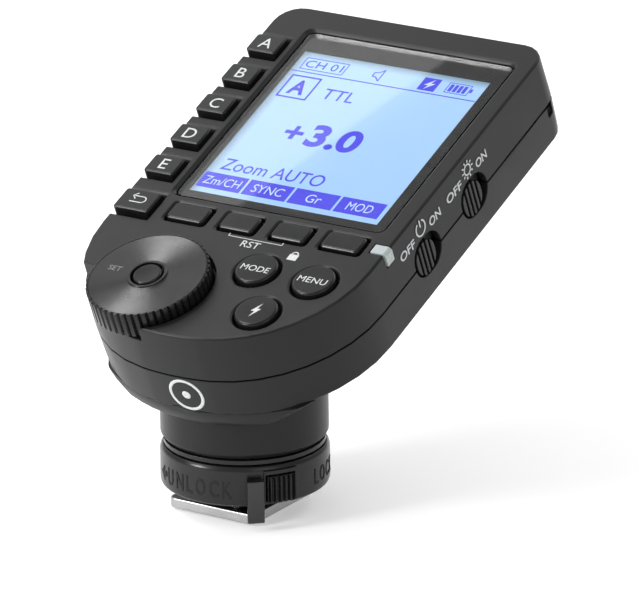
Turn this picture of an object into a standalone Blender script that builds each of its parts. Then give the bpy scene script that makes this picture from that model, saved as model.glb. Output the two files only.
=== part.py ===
"""Wireless flash trigger: a tilted display head on a round neck that ends in a hot-shoe foot.

Units are metres and +Z is up. The origin is on the underside of the foot, on the axis of the lock
ring. The head is modelled in its own frame: x to the right, v up the display, w out of the display
face, with v = 0 at the middle of the display and w = 0 on the face.
"""

import math

import bmesh
import bpy
from mathutils import Vector

MM = 0.001

# Driving dimensions of the head
TILT = math.radians(23.0)
HALF_WIDTH = 28.8 * MM
FAR_V = 31.7 * MM
NEAR_V = -59.5 * MM
FAR_RADIUS = 5.0 * MM
SIDE_RADIUS = 25.0 * MM
NEAR_RADIUS = 52.0 * MM
SEAM_DEPTH = 9.6 * MM
SLAB_DEPTH = 17.5 * MM
BELLY_DEPTH = 21.4 * MM
BELLY_HALF_WIDTH = 15.9 * MM
BELLY_CORNER = 4.0 * MM
BELLY_NEAR_RADIUS = 38.0 * MM
WALL = 1.5 * MM
DRAFT = 0.25 * MM
EDGE = 0.45 * MM

# Neck, lock ring and foot
NECK_RADIUS = 15.26 * MM
NECK_BORE = 13.4 * MM
NECK_BOTTOM = 12.7 * MM
AXIS_HEIGHT = 26.3 * MM
RING_RADIUS = 15.39 * MM
RING_BORE = 13.1 * MM
RING_BOTTOM = 3.8 * MM
RING_TOP = 11.3 * MM
FOOT_HALF_WIDTH = 9.3 * MM
FOOT_REAR = -11.45 * MM
FOOT_FRONT = 9.2 * MM
FOOT_THICKNESS = 2.0 * MM

# Clearances
GAP = 0.3 * MM
SEAM_GAP = 0.3 * MM
KEY_GAP = 0.45 * MM
DIAL_GAP = 0.5 * MM
PIN_CLEARANCE = 0.1 * MM
OVERCUT = 2.0 * MM

# Display stack
SCREEN_LEFT_MARGIN = 8.3 * MM
SCREEN_RIGHT_MARGIN = 3.2 * MM
SCREEN_FAR_MARGIN = 5.4 * MM
SCREEN_NEAR_V = -24.4 * MM
SCREEN_CORNER = 1.6 * MM
SCREEN_CHAMFER = 0.55 * MM
WINDOW_SINK = 0.6 * MM
WINDOW_THICKNESS = 0.8 * MM
PANEL_THICKNESS = 1.4 * MM
FRAME_LIP = 0.9 * MM
FRAME_DEPTH = 2.2 * MM
FRAME_FLOOR = 0.6 * MM
BOARD_TOP = 4.3 * MM
BOARD_THICKNESS = 0.8 * MM

# Keys
KEY_DEPTH = 2.7 * MM
KEY_TRAVEL = 0.5 * MM
MEMBRANE_TOP = KEY_DEPTH + KEY_TRAVEL + 0.2 * MM
MEMBRANE_THICKNESS = 0.5 * MM
SIDE_KEY_RISE = 0.85 * MM
SIDE_KEY_LENGTH = 4.9 * MM
SIDE_KEY_WIDTH = 6.5 * MM
SIDE_KEY_PITCH = 9.206 * MM
SIDE_KEY_FIRST_V = 19.05 * MM
SIDE_KEY_INSET = 0.2 * MM
RETURN_KEY_V = -28.2 * MM
RETURN_KEY_LENGTH = 5.5 * MM
RETURN_KEY_WIDTH = 7.7 * MM
SOFT_KEY_RISE = 0.4 * MM
SOFT_KEY_LENGTH = 4.3 * MM
SOFT_KEY_WIDTHS = (8.0 * MM, 7.3 * MM, 7.3 * MM, 8.0 * MM)
SOFT_KEY_PITCH = 11.05 * MM
SOFT_KEY_X = 3.2 * MM
SOFT_KEY_V = -28.45 * MM
ROUND_KEY_RADIUS = 4.05 * MM
ROUND_KEY_RISE = 0.7 * MM
ROUND_KEYS = {
    "mode_key": (7.87 * MM, NEAR_V + 20.15 * MM),
    "menu_key": (20.1 * MM, NEAR_V + 19.95 * MM),
    "test_key": (14.12 * MM, NEAR_V + 9.75 * MM),
}

# Select dial and encoder
DIAL_RADIUS = 11.45 * MM
DIAL_X = -9.57 * MM
DIAL_V = NEAR_V + 11.4 * MM
DIAL_RISE = 2.5 * MM
DIAL_POCKET = 3.0 * MM
POCKET_FLOOR = 1.0 * MM
POCKET_WALL = 1.25 * MM
RELIEF_ANGLES = (261, 330)
DIAL_CHAMFER = 0.15 * MM
DIAL_TEETH = 56
TOOTH_DEPTH = 0.3 * MM
SET_RADIUS = 2.7 * MM
HUB_RADIUS = 3.4 * MM
SHAFT_RADIUS = 2.1 * MM
SHAFT_BORE = 1.5 * MM
ENCODER_HALF = 6.0 * MM
ENCODER_BOTTOM = 9.2 * MM

# Slide switches on the right side
SWITCH_V = {"power": -17.8 * MM, "assist": -0.7 * MM}
SWITCH_W = -9.1 * MM
SWITCH_RECESS = (9.0 * MM, 7.6 * MM)
KNOB_LENGTH = 6.2 * MM
KNOB_HEIGHT = 6.7 * MM
SWITCH_TRAVEL = 1.8 * MM
KNOB_PROUD = 0.35 * MM
KNOB_RIBS = 5

# Battery bay
CELL_RADIUS = 7.1 * MM
CELL_LENGTH = 50.3 * MM
CELL_SPACING = 14.9 * MM
DOOR_THICKNESS = 1.45 * MM
DOOR_NEAR_V = -23.1 * MM
HINGE_RADIUS = 1.3 * MM
HINGE_PIN_RADIUS = 0.6 * MM
HINGE_HALF_LENGTH = 11.7 * MM
LUG_LENGTH = 2.8 * MM

# Shoe parts
COLLAR_RADIUS = 14.75 * MM
SPINDLE_RADIUS = 12.8 * MM
FLANGE_RADIUS = 13.8 * MM
BASE_CAVITY = 11.0 * MM
PILLAR_HALF_WIDTH = 6.1 * MM
CONTACT_CENTRE = (0.0, -2.9 * MM)
CONTACT_ROW_V = -6.2 * MM
CONTACT_ROW_X = (-4.4 * MM, -1.5 * MM, 1.5 * MM, 4.4 * MM)
CONTACT_REACH = 0.35 * MM
LOCK_PIN_Y = 7.0 * MM
LOCK_PIN_RADIUS = 0.9 * MM
SHOE_SCREW_X = 4.2 * MM
RELEASE_ANGLES = (48.6, 67.2)
LEVER_ANGLES = (35.0, 45.5)

# Places worked out from the sizes above
NECK_MARGIN = 1.9 * MM
NECK_V = NEAR_V + NECK_RADIUS / math.cos(TILT) + NECK_MARGIN
HEAD_Y = -(NECK_V * math.cos(TILT) + BELLY_DEPTH * math.sin(TILT))
HEAD_Z = AXIS_HEIGHT - NECK_V * math.sin(TILT) + BELLY_DEPTH * math.cos(TILT)
SCREEN_LEFT = -HALF_WIDTH + SCREEN_LEFT_MARGIN
SCREEN_RIGHT = HALF_WIDTH - SCREEN_RIGHT_MARGIN
SCREEN_FAR = FAR_V - SCREEN_FAR_MARGIN
SCREEN_X = (SCREEN_LEFT + SCREEN_RIGHT) / 2
SCREEN_V = (SCREEN_NEAR_V + SCREEN_FAR) / 2
SCREEN_WIDTH = SCREEN_RIGHT - SCREEN_LEFT
SCREEN_HEIGHT = SCREEN_FAR - SCREEN_NEAR_V
SIDE_KEY_LEFT = -HALF_WIDTH + SIDE_KEY_INSET
INNER_FAR = FAR_V - WALL
HINGE_V = FAR_V - 2.1 * MM
HINGE_W = -BELLY_DEPTH + HINGE_RADIUS
CELL_W = -(BELLY_DEPTH - DOOR_THICKNESS - GAP - CELL_RADIUS)
CELL_FAR = INNER_FAR - 2.1 * MM
CELL_V = CELL_FAR - CELL_LENGTH / 2
SCREW_X = HALF_WIDTH - 3.4 * MM
SCREW_PLACES = (
    (-SCREW_X, FAR_V - 5.9 * MM),
    (SCREW_X, FAR_V - 5.9 * MM),
    (-SCREW_X, NEAR_V + 24.5 * MM),
    (SCREW_X, NEAR_V + 24.5 * MM),
)

PLASTIC = ("housing_plastic", (0.035, 0.036, 0.038), 0.5, 0.0)
KEY_PLASTIC = ("key_plastic", (0.045, 0.046, 0.048), 0.5, 0.0)
GLOSS_BLACK = ("gloss_black", (0.012, 0.012, 0.013), 0.12, 0.0)
WINDOW_GLASS = ("window", (0.02, 0.02, 0.022), 0.05, 0.0)
LCD_BLUE = ("lcd", (0.62, 0.8, 0.95), 0.3, 0.0)
WHITE_PLASTIC = ("white_plastic", (0.75, 0.75, 0.74), 0.4, 0.0)
BOARD_GREEN = ("board", (0.03, 0.16, 0.07), 0.45, 0.0)
SILICONE = ("silicone", (0.3, 0.3, 0.31), 0.7, 0.0)
STEEL = ("steel", (0.62, 0.62, 0.63), 0.3, 1.0)
GOLD = ("gold_contact", (0.83, 0.62, 0.28), 0.25, 1.0)
CELL_WRAP = ("cell_wrap", (0.08, 0.2, 0.1), 0.35, 0.0)
RED_LENS = ("red_lens", (0.35, 0.01, 0.015), 0.1, 0.0)


# ---------------------------------------------------------------- building blocks


def material_of(kind):
    name, color, roughness, metallic = kind
    found = bpy.data.materials.get(name)
    if found:
        return found
    made = bpy.data.materials.new(name)
    made.use_nodes = True
    shader = made.node_tree.nodes["Principled BSDF"]
    shader.inputs["Base Color"].default_value = (*color, 1.0)
    shader.inputs["Roughness"].default_value = roughness
    shader.inputs["Metallic"].default_value = metallic
    return made


def rectangle(width, height, radius, at=(0.0, 0.0), steps=3):
    """The points of a rectangle with round corners, anticlockwise."""
    points = []
    corners = ((1, -1, -90), (1, 1, 0), (-1, 1, 90), (-1, -1, 180))
    for side_x, side_y, start in corners:
        cx = at[0] + side_x * (width / 2 - radius)
        cy = at[1] + side_y * (height / 2 - radius)
        for i in range(steps + 1):
            angle = math.radians(start + 90 * i / steps)
            points.append((cx + radius * math.cos(angle), cy + radius * math.sin(angle)))
    return points


def circle(radius, at=(0.0, 0.0), count=32):
    angles = [2 * math.pi * i / count for i in range(count)]
    return [(at[0] + radius * math.cos(a), at[1] + radius * math.sin(a)) for a in angles]


def head_outline(half, far, near, far_r, side_r, near_r):
    """The head seen square to the display: straight sides, two far corners and a round near end."""
    dx = half - side_r
    dv = math.sqrt((near_r - side_r) ** 2 - dx**2)
    low = math.degrees(math.atan2(-dv, dx))
    side_v = near + near_r - dv
    arcs = (
        ((0.0, near + near_r), near_r, -180 - low, low, 10, 0),
        ((dx, side_v), side_r, low, 0.0, 8, 1),
        ((half - far_r, far - far_r), far_r, 0.0, 90.0, 5, 0),
        ((far_r - half, far - far_r), far_r, 90.0, 180.0, 5, 0),
        ((-dx, side_v), side_r, 180.0, 180.0 - low, 8, 0),
    )
    points = []
    for (cx, cv), radius, start, end, steps, first in arcs:
        for i in range(first, steps + 1):
            angle = math.radians(start + (end - start) * i / steps)
            points.append((cx + radius * math.cos(angle), cv + radius * math.sin(angle)))
    return points[:-1]


def inset_outline(inset):
    return head_outline(
        HALF_WIDTH - inset,
        FAR_V - inset,
        NEAR_V + inset,
        FAR_RADIUS - inset,
        SIDE_RADIUS - inset,
        NEAR_RADIUS - inset,
    )


def add_loft(mesh, sections, place=lambda a, b, c: (a, b, c)):
    """Adds to a bmesh the closed skin through rings of points, each (points, height)."""
    rings = [[mesh.verts.new(place(a, b, height)) for a, b in points] for points, height in sections]
    count = len(rings[0])
    for low, high in zip(rings, rings[1:]):
        for i in range(count):
            j = (i + 1) % count
            mesh.faces.new((low[i], low[j], high[j], high[i]))
    mesh.faces.new(rings[0][::-1])
    mesh.faces.new(rings[-1])


def add_turned(mesh, profile, count=32, place=lambda a, b, c: (a, b, c)):
    """Adds a closed profile of (radius, height) turned about the third axis; it may touch the axis."""
    rings = []
    for radius, height in profile:
        if radius == 0.0:
            rings.append([mesh.verts.new(place(0.0, 0.0, height))])
        else:
            rings.append([mesh.verts.new(place(a, b, height)) for a, b in circle(radius, count=count)])
    for low, high in zip(rings, rings[1:] + rings[:1]):
        for i in range(count):
            j = (i + 1) % count
            corners = [low[i % len(low)], low[j % len(low)], high[j % len(high)], high[i % len(high)]]
            unique = list(dict.fromkeys(corners))
            if len(unique) > 2:
                mesh.faces.new(unique)


def sector(inner, outer, start, end, steps=6):
    """The plan of a block that follows the ring: angles in degrees from the rear, towards the right."""
    angles = [math.radians(start + (end - start) * i / steps - 90) for i in range(steps + 1)]
    out = [(outer * math.cos(a), outer * math.sin(a)) for a in angles]
    back = [(inner * math.cos(a), inner * math.sin(a)) for a in reversed(angles)]
    return out + back


def along_x(a, b, c):
    return (c, a, b)


def along_y(a, b, c):
    return (a, c, b)


def make(name, build, kind, parent=None, at=(0.0, 0.0, 0.0)):
    """Makes the object whose bmesh the function build fills."""
    work = bmesh.new()
    build(work)
    bmesh.ops.recalc_face_normals(work, faces=work.faces)
    data = bpy.data.meshes.new(name)
    work.to_mesh(data)
    work.free()
    data.shade_smooth()
    data.set_sharp_from_angle(angle=math.radians(30))
    data.materials.append(material_of(kind))
    obj = bpy.data.objects.new(name, data)
    bpy.context.scene.collection.objects.link(obj)
    obj.parent = parent
    obj.location = at
    return obj


def tool(name, build, parent=None, at=(0.0, 0.0, 0.0)):
    """A hidden solid that only cuts or joins another."""
    obj = make("tool_" + name, build, PLASTIC, parent, at)
    obj.hide_render = True
    obj.display_type = "WIRE"
    return obj


def apply_tool(target, other, operation="DIFFERENCE"):
    step = target.modifiers.new(operation.lower(), "BOOLEAN")
    step.operation = operation
    step.object = other


def lofts(*groups, place=lambda a, b, c: (a, b, c)):
    """A build function for several separate lofts."""

    def build(work):
        for sections in groups:
            add_loft(work, sections, place)

    return build


def turned(profile, count=32, place=lambda a, b, c: (a, b, c)):
    def build(work):
        add_turned(work, profile, count, place)

    return build


def face_of_tilt(w):
    """The height of the plane w, at a point of the row's own x and y."""

    def height(x, y):
        return HEAD_Z + (w + (y - HEAD_Y) * math.sin(TILT)) / math.cos(TILT)

    return height


# ---------------------------------------------------------------- the head's frame

for old in list(bpy.data.objects):
    bpy.data.objects.remove(old)

head = bpy.data.objects.new("head_frame", None)
bpy.context.scene.collection.objects.link(head)
head.location = (0.0, HEAD_Y, HEAD_Z)
head.rotation_euler = (TILT, 0.0, 0.0)


# ---------------------------------------------------------------- keys: one list drives keys and openings

SIDE_KEYS = [
    ("key_" + letter, SIDE_KEY_FIRST_V - i * SIDE_KEY_PITCH, SIDE_KEY_WIDTH, SIDE_KEY_LENGTH)
    for i, letter in enumerate("abcde")
] + [("key_return", RETURN_KEY_V, RETURN_KEY_WIDTH, RETURN_KEY_LENGTH)]

SOFT_KEYS = [
    (f"soft_key_{i + 1}", SOFT_KEY_X + (i - 1.5) * SOFT_KEY_PITCH, SOFT_KEY_V, width, SOFT_KEY_LENGTH)
    for i, width in enumerate(SOFT_KEY_WIDTHS)
]


def side_notch(v, width, length):
    """The notch of a side key: open through the left wall, with a chamfer on its long edges."""
    right = SIDE_KEY_LEFT + width + GAP
    left = -HALF_WIDTH - OVERCUT
    chamfer = 0.8 * MM
    side_chamfer = 0.2 * MM
    sections = []
    bottom = -KEY_DEPTH - KEY_TRAVEL - GAP
    for w, grow in ((GAP, 1 + GAP / chamfer), (0.0, 1.0), (-chamfer, 0.0), (bottom, 0.0)):
        high = v + length / 2 + KEY_GAP + grow * chamfer
        low = v - length / 2 - KEY_GAP - grow * chamfer
        edge = right + grow * side_chamfer
        sections.append(([(left, low), (edge, low), (edge, high), (left, high)], w))
    return sections


def soft_opening(x, v, width, length):
    chamfer = 0.35 * MM
    sections = []
    for w, grow in ((GAP, 1 + GAP / chamfer), (0.0, 1.0), (-chamfer, 0.0), (-WALL - OVERCUT, 0.0)):
        extra = 2 * (KEY_GAP + grow * chamfer)
        sections.append((rectangle(width + extra, length + extra, 0.9 * MM, (x, v)), w))
    return sections


def round_opening(x, v):
    hole = ROUND_KEY_RADIUS + 0.35 * MM
    rim = hole + 0.4 * MM
    return [
        (circle(rim + GAP, (x, v)), GAP),
        (circle(rim, (x, v)), 0.0),
        (circle(hole, (x, v)), -0.4 * MM),
        (circle(hole, (x, v)), -WALL - OVERCUT),
    ]


def screen_opening():
    sections = []
    steps = [(GAP, 1 + GAP / SCREEN_CHAMFER), (0.0, 1.0), (-SCREEN_CHAMFER, 0.0), (-WALL - OVERCUT, 0.0)]
    for w, grow in steps:
        extra = 2 * grow * SCREEN_CHAMFER
        size = (SCREEN_WIDTH - 2 * SCREEN_CHAMFER + extra, SCREEN_HEIGHT - 2 * SCREEN_CHAMFER + extra)
        sections.append((rectangle(*size, SCREEN_CORNER, (SCREEN_X, SCREEN_V), 4), w))
    return sections


def dial_pocket():
    at = (DIAL_X, DIAL_V)
    pocket = DIAL_RADIUS + DIAL_GAP
    hole = HUB_RADIUS + 0.4 * MM
    return [
        (circle(pocket, at, 44), DIAL_RISE + OVERCUT),
        (circle(pocket, at, 44), -DIAL_POCKET),
        (circle(hole, at, 44), -DIAL_POCKET),
        (circle(hole, at, 44), -DIAL_POCKET - POCKET_FLOOR - OVERCUT),
    ]


def dial_relief(inner, reach):
    """The plan of the open side of the pocket, where the dial overhangs the head's left wall."""
    outer = HALF_WIDTH + DIAL_X + reach
    return [(DIAL_X + x, DIAL_V + v) for x, v in sector(inner, outer, *RELIEF_ANGLES, 8)]


# ---------------------------------------------------------------- light pipe on the right edge

PIPE_V = -28.3 * MM
PIPE_WIDTH = 2.2 * MM


def pipe_profile(grow):
    """The pipe in section: an angle that wraps from the face on to the right side."""
    outer = HALF_WIDTH + DRAFT
    return [
        (outer - 3.2 * MM - grow, 0.05 * MM + 4 * grow),
        (outer - 3.2 * MM - grow, -1.1 * MM - grow),
        (outer - 1.2 * MM - grow, -1.1 * MM - grow),
        (outer - 1.2 * MM - grow, -2.7 * MM - grow),
        (outer + 0.05 * MM + 4 * grow, -2.7 * MM - grow),
        (outer + 0.05 * MM + 4 * grow, -0.5 * MM + 4 * grow),
        (outer - 0.5 * MM + 4 * grow, 0.05 * MM + 4 * grow),
    ]


def pipe_sections(grow):
    half = PIPE_WIDTH / 2 + grow
    return [(pipe_profile(grow), PIPE_V - half), (pipe_profile(grow), PIPE_V + half)]


def across_v(a, b, c):
    return (a, c, b)


# ---------------------------------------------------------------- upper housing


def switch_recesses(extra=0.0):
    groups = []
    for v in SWITCH_V.values():
        shape = rectangle(SWITCH_RECESS[0] + extra, SWITCH_RECESS[1] + extra, 3.7 * MM, (v, SWITCH_W), 5)
        groups.append([(shape, HALF_WIDTH - WALL - OVERCUT), (shape, HALF_WIDTH + OVERCUT)])
    return groups


def build_upper_housing():
    bottom = -SEAM_DEPTH + SEAM_GAP / 2
    shell = make(
        "upper_housing",
        lofts(
            [
                (inset_outline(-DRAFT), bottom),
                (inset_outline(0.0), -EDGE),
                (inset_outline(EDGE * 0.3), -EDGE * 0.3),
                (inset_outline(EDGE), 0.0),
            ]
        ),
        PLASTIC,
        head,
    )
    hollow = tool(
        "upper_hollow",
        lofts([(inset_outline(WALL - DRAFT), bottom - OVERCUT), (inset_outline(WALL), -WALL)]),
        head,
    )
    boss_radius = DIAL_RADIUS + DIAL_GAP + POCKET_WALL
    posts = [
        [(circle(2.1 * MM, at, 10), bottom - 2 * OVERCUT), (circle(2.1 * MM, at, 10), -5.6 * MM)]
        for at in SCREW_PLACES
    ]
    boss = [
        (circle(boss_radius, (DIAL_X, DIAL_V), 44), -DIAL_POCKET - POCKET_FLOOR),
        (circle(boss_radius, (DIAL_X, DIAL_V), 44), OVERCUT),
    ]
    apply_tool(hollow, tool("upper_bosses", lofts(boss, *posts), head))
    shelf = dial_relief(DIAL_RADIUS, 2 * OVERCUT)
    shelf_loft = lofts([(shelf, -DIAL_POCKET - POCKET_FLOOR), (shelf, OVERCUT)])
    apply_tool(hollow, tool("relief_shelf", shelf_loft, head))
    apply_tool(shell, hollow)
    openings = [screen_opening(), dial_pocket()]
    openings += [side_notch(v, width, length) for _, v, width, length in SIDE_KEYS]
    openings += [soft_opening(x, v, width, length) for _, x, v, width, length in SOFT_KEYS]
    openings += [round_opening(*at) for at in ROUND_KEYS.values()]
    openings += [
        [(circle(1.05 * MM, at, 10), bottom - OVERCUT), (circle(1.05 * MM, at, 10), -6.4 * MM)]
        for at in SCREW_PLACES
    ]
    apply_tool(shell, tool("upper_openings", lofts(*openings), head))
    relief = dial_relief(DIAL_RADIUS - OVERCUT, 2 * OVERCUT)
    relief_loft = lofts([(relief, -DIAL_POCKET), (relief, DIAL_RISE)])
    apply_tool(shell, tool("dial_relief", relief_loft, head))
    apply_tool(shell, tool("upper_switches", lofts(*switch_recesses(), place=along_x), head))
    apply_tool(shell, tool("upper_pipe", lofts(pipe_sections(0.25 * MM), place=across_v), head))


# ---------------------------------------------------------------- lower housing


def belly_outline(half, near, far, far_r):
    return head_outline(half, far, near, far_r, BELLY_CORNER, BELLY_NEAR_RADIUS)


def slab_edge(inset):
    """The slab's outline drawn in at its sides and far end, with its near end left whole."""
    far_r = FAR_RADIUS - inset
    return head_outline(HALF_WIDTH - inset, FAR_V - inset, NEAR_V, far_r, SIDE_RADIUS, NEAR_RADIUS)


def lower_skin():
    """Rings from the seam down the side wall, across the flat underside and round the belly."""
    b = BELLY_HALF_WIDTH
    near = NEAR_V + 0.05 * MM
    far = FAR_V - 0.1 * MM
    d = BELLY_DEPTH
    return [
        (inset_outline(-DRAFT), -SEAM_DEPTH - SEAM_GAP / 2),
        (slab_edge(0.0), -SLAB_DEPTH + 0.5 * MM),
        (slab_edge(0.12 * MM), -SLAB_DEPTH + 0.15 * MM),
        (slab_edge(0.4 * MM), -SLAB_DEPTH),
        (belly_outline(b + 6.2 * MM, near, far, 4.0 * MM), -SLAB_DEPTH - 0.1 * MM),
        (belly_outline(b + 4.4 * MM, near, far, 3.8 * MM), -SLAB_DEPTH - 1.0 * MM),
        (belly_outline(b + 2.6 * MM, near + 0.15 * MM, far - 0.1 * MM, 3.2 * MM), -d + 1.9 * MM),
        (belly_outline(b + 1.2 * MM, near + 0.4 * MM, far - 0.4 * MM, 2.6 * MM), -d + 0.8 * MM),
        (belly_outline(b + 0.5 * MM, near + 1.0 * MM, far - 0.8 * MM, 2.2 * MM), -d + 0.25 * MM),
        (belly_outline(b, near + 1.9 * MM, far - 1.3 * MM, 2.0 * MM), -d),
    ]


def lower_hollow_skin():
    b = BELLY_HALF_WIDTH
    near = NEAR_V + WALL + 0.2 * MM
    floor = -BELLY_DEPTH + WALL
    return [
        (inset_outline(WALL - DRAFT), -SEAM_DEPTH + OVERCUT),
        (inset_outline(WALL), -SLAB_DEPTH + WALL + 0.01 * MM),
        (belly_outline(b + 4.4 * MM, near, INNER_FAR - 0.1 * MM, 3.0 * MM), -SLAB_DEPTH + WALL),
        (belly_outline(b + 1.6 * MM, near + 0.2 * MM, INNER_FAR - 0.2 * MM, 2.4 * MM), floor + 1.5 * MM),
        (belly_outline(b - 0.8 * MM, near + 1.6 * MM, INNER_FAR - 0.3 * MM, 1.6 * MM), floor),
    ]


def neck_ring(radius, w, count=40):
    """A slanted ring of points: the neck's circle on the plane w of the head."""
    height = face_of_tilt(w)
    return [(x, y, height(x, y)) for x, y in circle(radius, count=count)]


def add_neck(work, profile, radius_top, w_top, count=40):
    rings = [[work.verts.new((x, y, z)) for x, y in circle(r, count=count)] for r, z in profile]
    rings.append([work.verts.new(p) for p in neck_ring(radius_top, w_top, count)])
    for low, high in zip(rings, rings[1:]):
        for i in range(count):
            j = (i + 1) % count
            work.faces.new((low[i], low[j], high[j], high[i]))
    work.faces.new(rings[0][::-1])
    work.faces.new(rings[-1])


def bay_solids():
    """What stays standing in the lower hollow: screw posts, the bay's near rib and the hinge lugs."""
    top = -SEAM_DEPTH - SEAM_GAP / 2
    posts = [
        [(circle(2.3 * MM, at, 10), -SLAB_DEPTH - OVERCUT), (circle(2.3 * MM, at, 10), top)]
        for at in SCREW_PLACES
    ]
    rib_v = DOOR_NEAR_V - 0.9 * MM
    rib = [
        (rectangle(40 * MM, 1.2 * MM, 0.2 * MM, (0.0, rib_v), 1), -BELLY_DEPTH - OVERCUT),
        (rectangle(40 * MM, 1.2 * MM, 0.2 * MM, (0.0, rib_v), 1), top - 0.4 * MM),
    ]
    lugs = []
    for side in (-1, 1):
        x = side * (HINGE_HALF_LENGTH + GAP + LUG_LENGTH / 2 + 0.4 * MM)
        shape = rectangle(LUG_LENGTH + 0.8 * MM, 4.0 * MM, 0.2 * MM, (x, HINGE_V + 0.7 * MM), 1)
        lugs.append([(shape, -BELLY_DEPTH - OVERCUT), (shape, HINGE_W + HINGE_RADIUS)])
    return [*posts, rib, *lugs]


def door_opening():
    """The plan of the bay's mouth, with a slot at its far end for the hinge barrel."""
    wide = BELLY_HALF_WIDTH - 0.8 * MM
    slot = HINGE_HALF_LENGTH + GAP
    near = DOOR_NEAR_V - GAP
    step = HINGE_V - HINGE_RADIUS - GAP
    far = FAR_V + OVERCUT
    plan = [(-wide, near), (wide, near), (wide, step), (slot, step), (slot, far)]
    plan += [(-slot, far), (-slot, step), (-wide, step)]
    return [(plan, -BELLY_DEPTH - OVERCUT), (plan, HINGE_W + HINGE_RADIUS + GAP)]


PORT_W = -(SEAM_DEPTH + SLAB_DEPTH) / 2
USB_V = -6.0 * MM
USB_SIZE = (8.9 * MM, 3.1 * MM)
SYNC_V = 9.0 * MM
SYNC_RADIUS = 2.6 * MM
MARK_NOTCH_V = FAR_V - 4.5 * MM


def side_ports():
    """Cuts along x: the two ports on the left and the small blind notch on the right."""
    usb = rectangle(USB_SIZE[0] + 2 * GAP, USB_SIZE[1] + 2 * GAP, 1.4 * MM, (USB_V, PORT_W))
    sync = circle(SYNC_RADIUS + GAP, (SYNC_V, PORT_W), 24)
    notch = rectangle(1.9 * MM, 2.4 * MM, 0.4 * MM, (MARK_NOTCH_V, -SEAM_DEPTH - 1.4 * MM))
    left = (-HALF_WIDTH - OVERCUT, -HALF_WIDTH + WALL + OVERCUT)
    right = (HALF_WIDTH - 0.7 * MM, HALF_WIDTH + OVERCUT)
    cuts = ((usb, left), (sync, left), (notch, right))
    return [[(shape, low), (shape, high)] for shape, (low, high) in cuts]


def screw_holes():
    groups = []
    for at in SCREW_PLACES:
        groups.append(
            [
                (circle(1.8 * MM, at, 12), -SLAB_DEPTH - OVERCUT),
                (circle(1.8 * MM, at, 12), -SLAB_DEPTH + 1.6 * MM),
                (circle(1.05 * MM, at, 12), -SLAB_DEPTH + 1.6 * MM),
                (circle(1.05 * MM, at, 12), -SEAM_DEPTH + OVERCUT),
            ]
        )
    return groups


LENS_RADIUS = 4.6 * MM
LENS_Z = 21.3 * MM


def build_lower_housing():
    shell = make("lower_housing", lofts(lower_skin()), PLASTIC, head)
    neck_profile = [(NECK_RADIUS - 0.7 * MM, NECK_BOTTOM), (NECK_RADIUS, NECK_BOTTOM + 0.9 * MM)]
    neck = tool("neck", lambda work: add_neck(work, neck_profile, NECK_RADIUS, -BELLY_DEPTH + 0.8 * MM))
    apply_tool(shell, neck, "UNION")
    hollow = tool("lower_hollow", lofts(lower_hollow_skin()), head)
    apply_tool(hollow, tool("bay_solids", lofts(*bay_solids()), head))
    apply_tool(shell, hollow)
    bore_profile = [(NECK_BORE, NECK_BOTTOM - OVERCUT)]
    bore_top = -BELLY_DEPTH + WALL + 1.0 * MM
    bore = tool("neck_bore", lambda work: add_neck(work, bore_profile, NECK_BORE, bore_top))
    apply_tool(shell, bore)
    apply_tool(shell, tool("door_opening", lofts(door_opening(), *screw_holes()), head))
    apply_tool(shell, tool("side_ports", lofts(*side_ports(), *switch_recesses(), place=along_x), head))
    length = 2 * (HINGE_HALF_LENGTH + GAP + LUG_LENGTH)
    bore_circle = circle(HINGE_PIN_RADIUS + PIN_CLEARANCE, (HINGE_V, HINGE_W), 16)
    pin_bore = [(bore_circle, -length / 2), (bore_circle, length / 2)]
    apply_tool(shell, tool("pin_bore", lofts(pin_bore, place=along_x), head))
    rim = circle(LENS_RADIUS + GAP, (0.0, LENS_Z), 24)
    lens_hole = [(rim, 9 * MM), (rim, NECK_RADIUS + 5 * MM)]
    apply_tool(shell, tool("lens_hole", lofts(lens_hole, place=along_y)))


# ---------------------------------------------------------------- display stack and boards


def build_display():
    opening = (SCREEN_WIDTH - 2 * SCREEN_CHAMFER, SCREEN_HEIGHT - 2 * SCREEN_CHAMFER)
    centre = (SCREEN_X, SCREEN_V)
    pane = rectangle(opening[0] - 2 * GAP, opening[1] - 2 * GAP, SCREEN_CORNER - GAP, centre, 4)
    window_bottom = -WINDOW_SINK - WINDOW_THICKNESS
    make("display_window", lofts([(pane, window_bottom), (pane, -WINDOW_SINK)]), WINDOW_GLASS, head)

    frame_top = -WALL - GAP
    outer = rectangle(opening[0] + 2 * FRAME_LIP, opening[1] + 2 * FRAME_LIP, 1.2 * MM, centre, 2)
    pocket_size = (opening[0] - 2.4 * MM, opening[1] - 3.0 * MM)
    pocket = rectangle(*pocket_size, 0.6 * MM, centre, 2)
    frame_loft = lofts([(outer, frame_top - FRAME_DEPTH), (outer, frame_top)])
    frame = make("lcd_frame", frame_loft, WHITE_PLASTIC, head)
    floor = frame_top - FRAME_DEPTH + FRAME_FLOOR
    apply_tool(frame, tool("lcd_pocket", lofts([(pocket, floor), (pocket, frame_top + OVERCUT)]), head))

    panel = rectangle(pocket_size[0] - 2 * GAP, pocket_size[1] - 2 * GAP, 0.4 * MM, centre, 2)
    panel_top = window_bottom - GAP
    make("lcd_panel", lofts([(panel, panel_top - PANEL_THICKNESS), (panel, panel_top)]), LCD_BLUE, head)

    plate = inset_outline(WALL + 0.7 * MM)
    board_loft = lofts([(plate, -BOARD_TOP - BOARD_THICKNESS), (plate, -BOARD_TOP)])
    board = make("main_board", board_loft, BOARD_GREEN, head)
    hole = circle(SHAFT_RADIUS + 0.4 * MM, (DIAL_X, DIAL_V), 24)
    hole_loft = lofts([(hole, -BOARD_TOP - OVERCUT), (hole, -BOARD_TOP + OVERCUT)])
    apply_tool(board, tool("board_hole", hole_loft, head))


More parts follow.
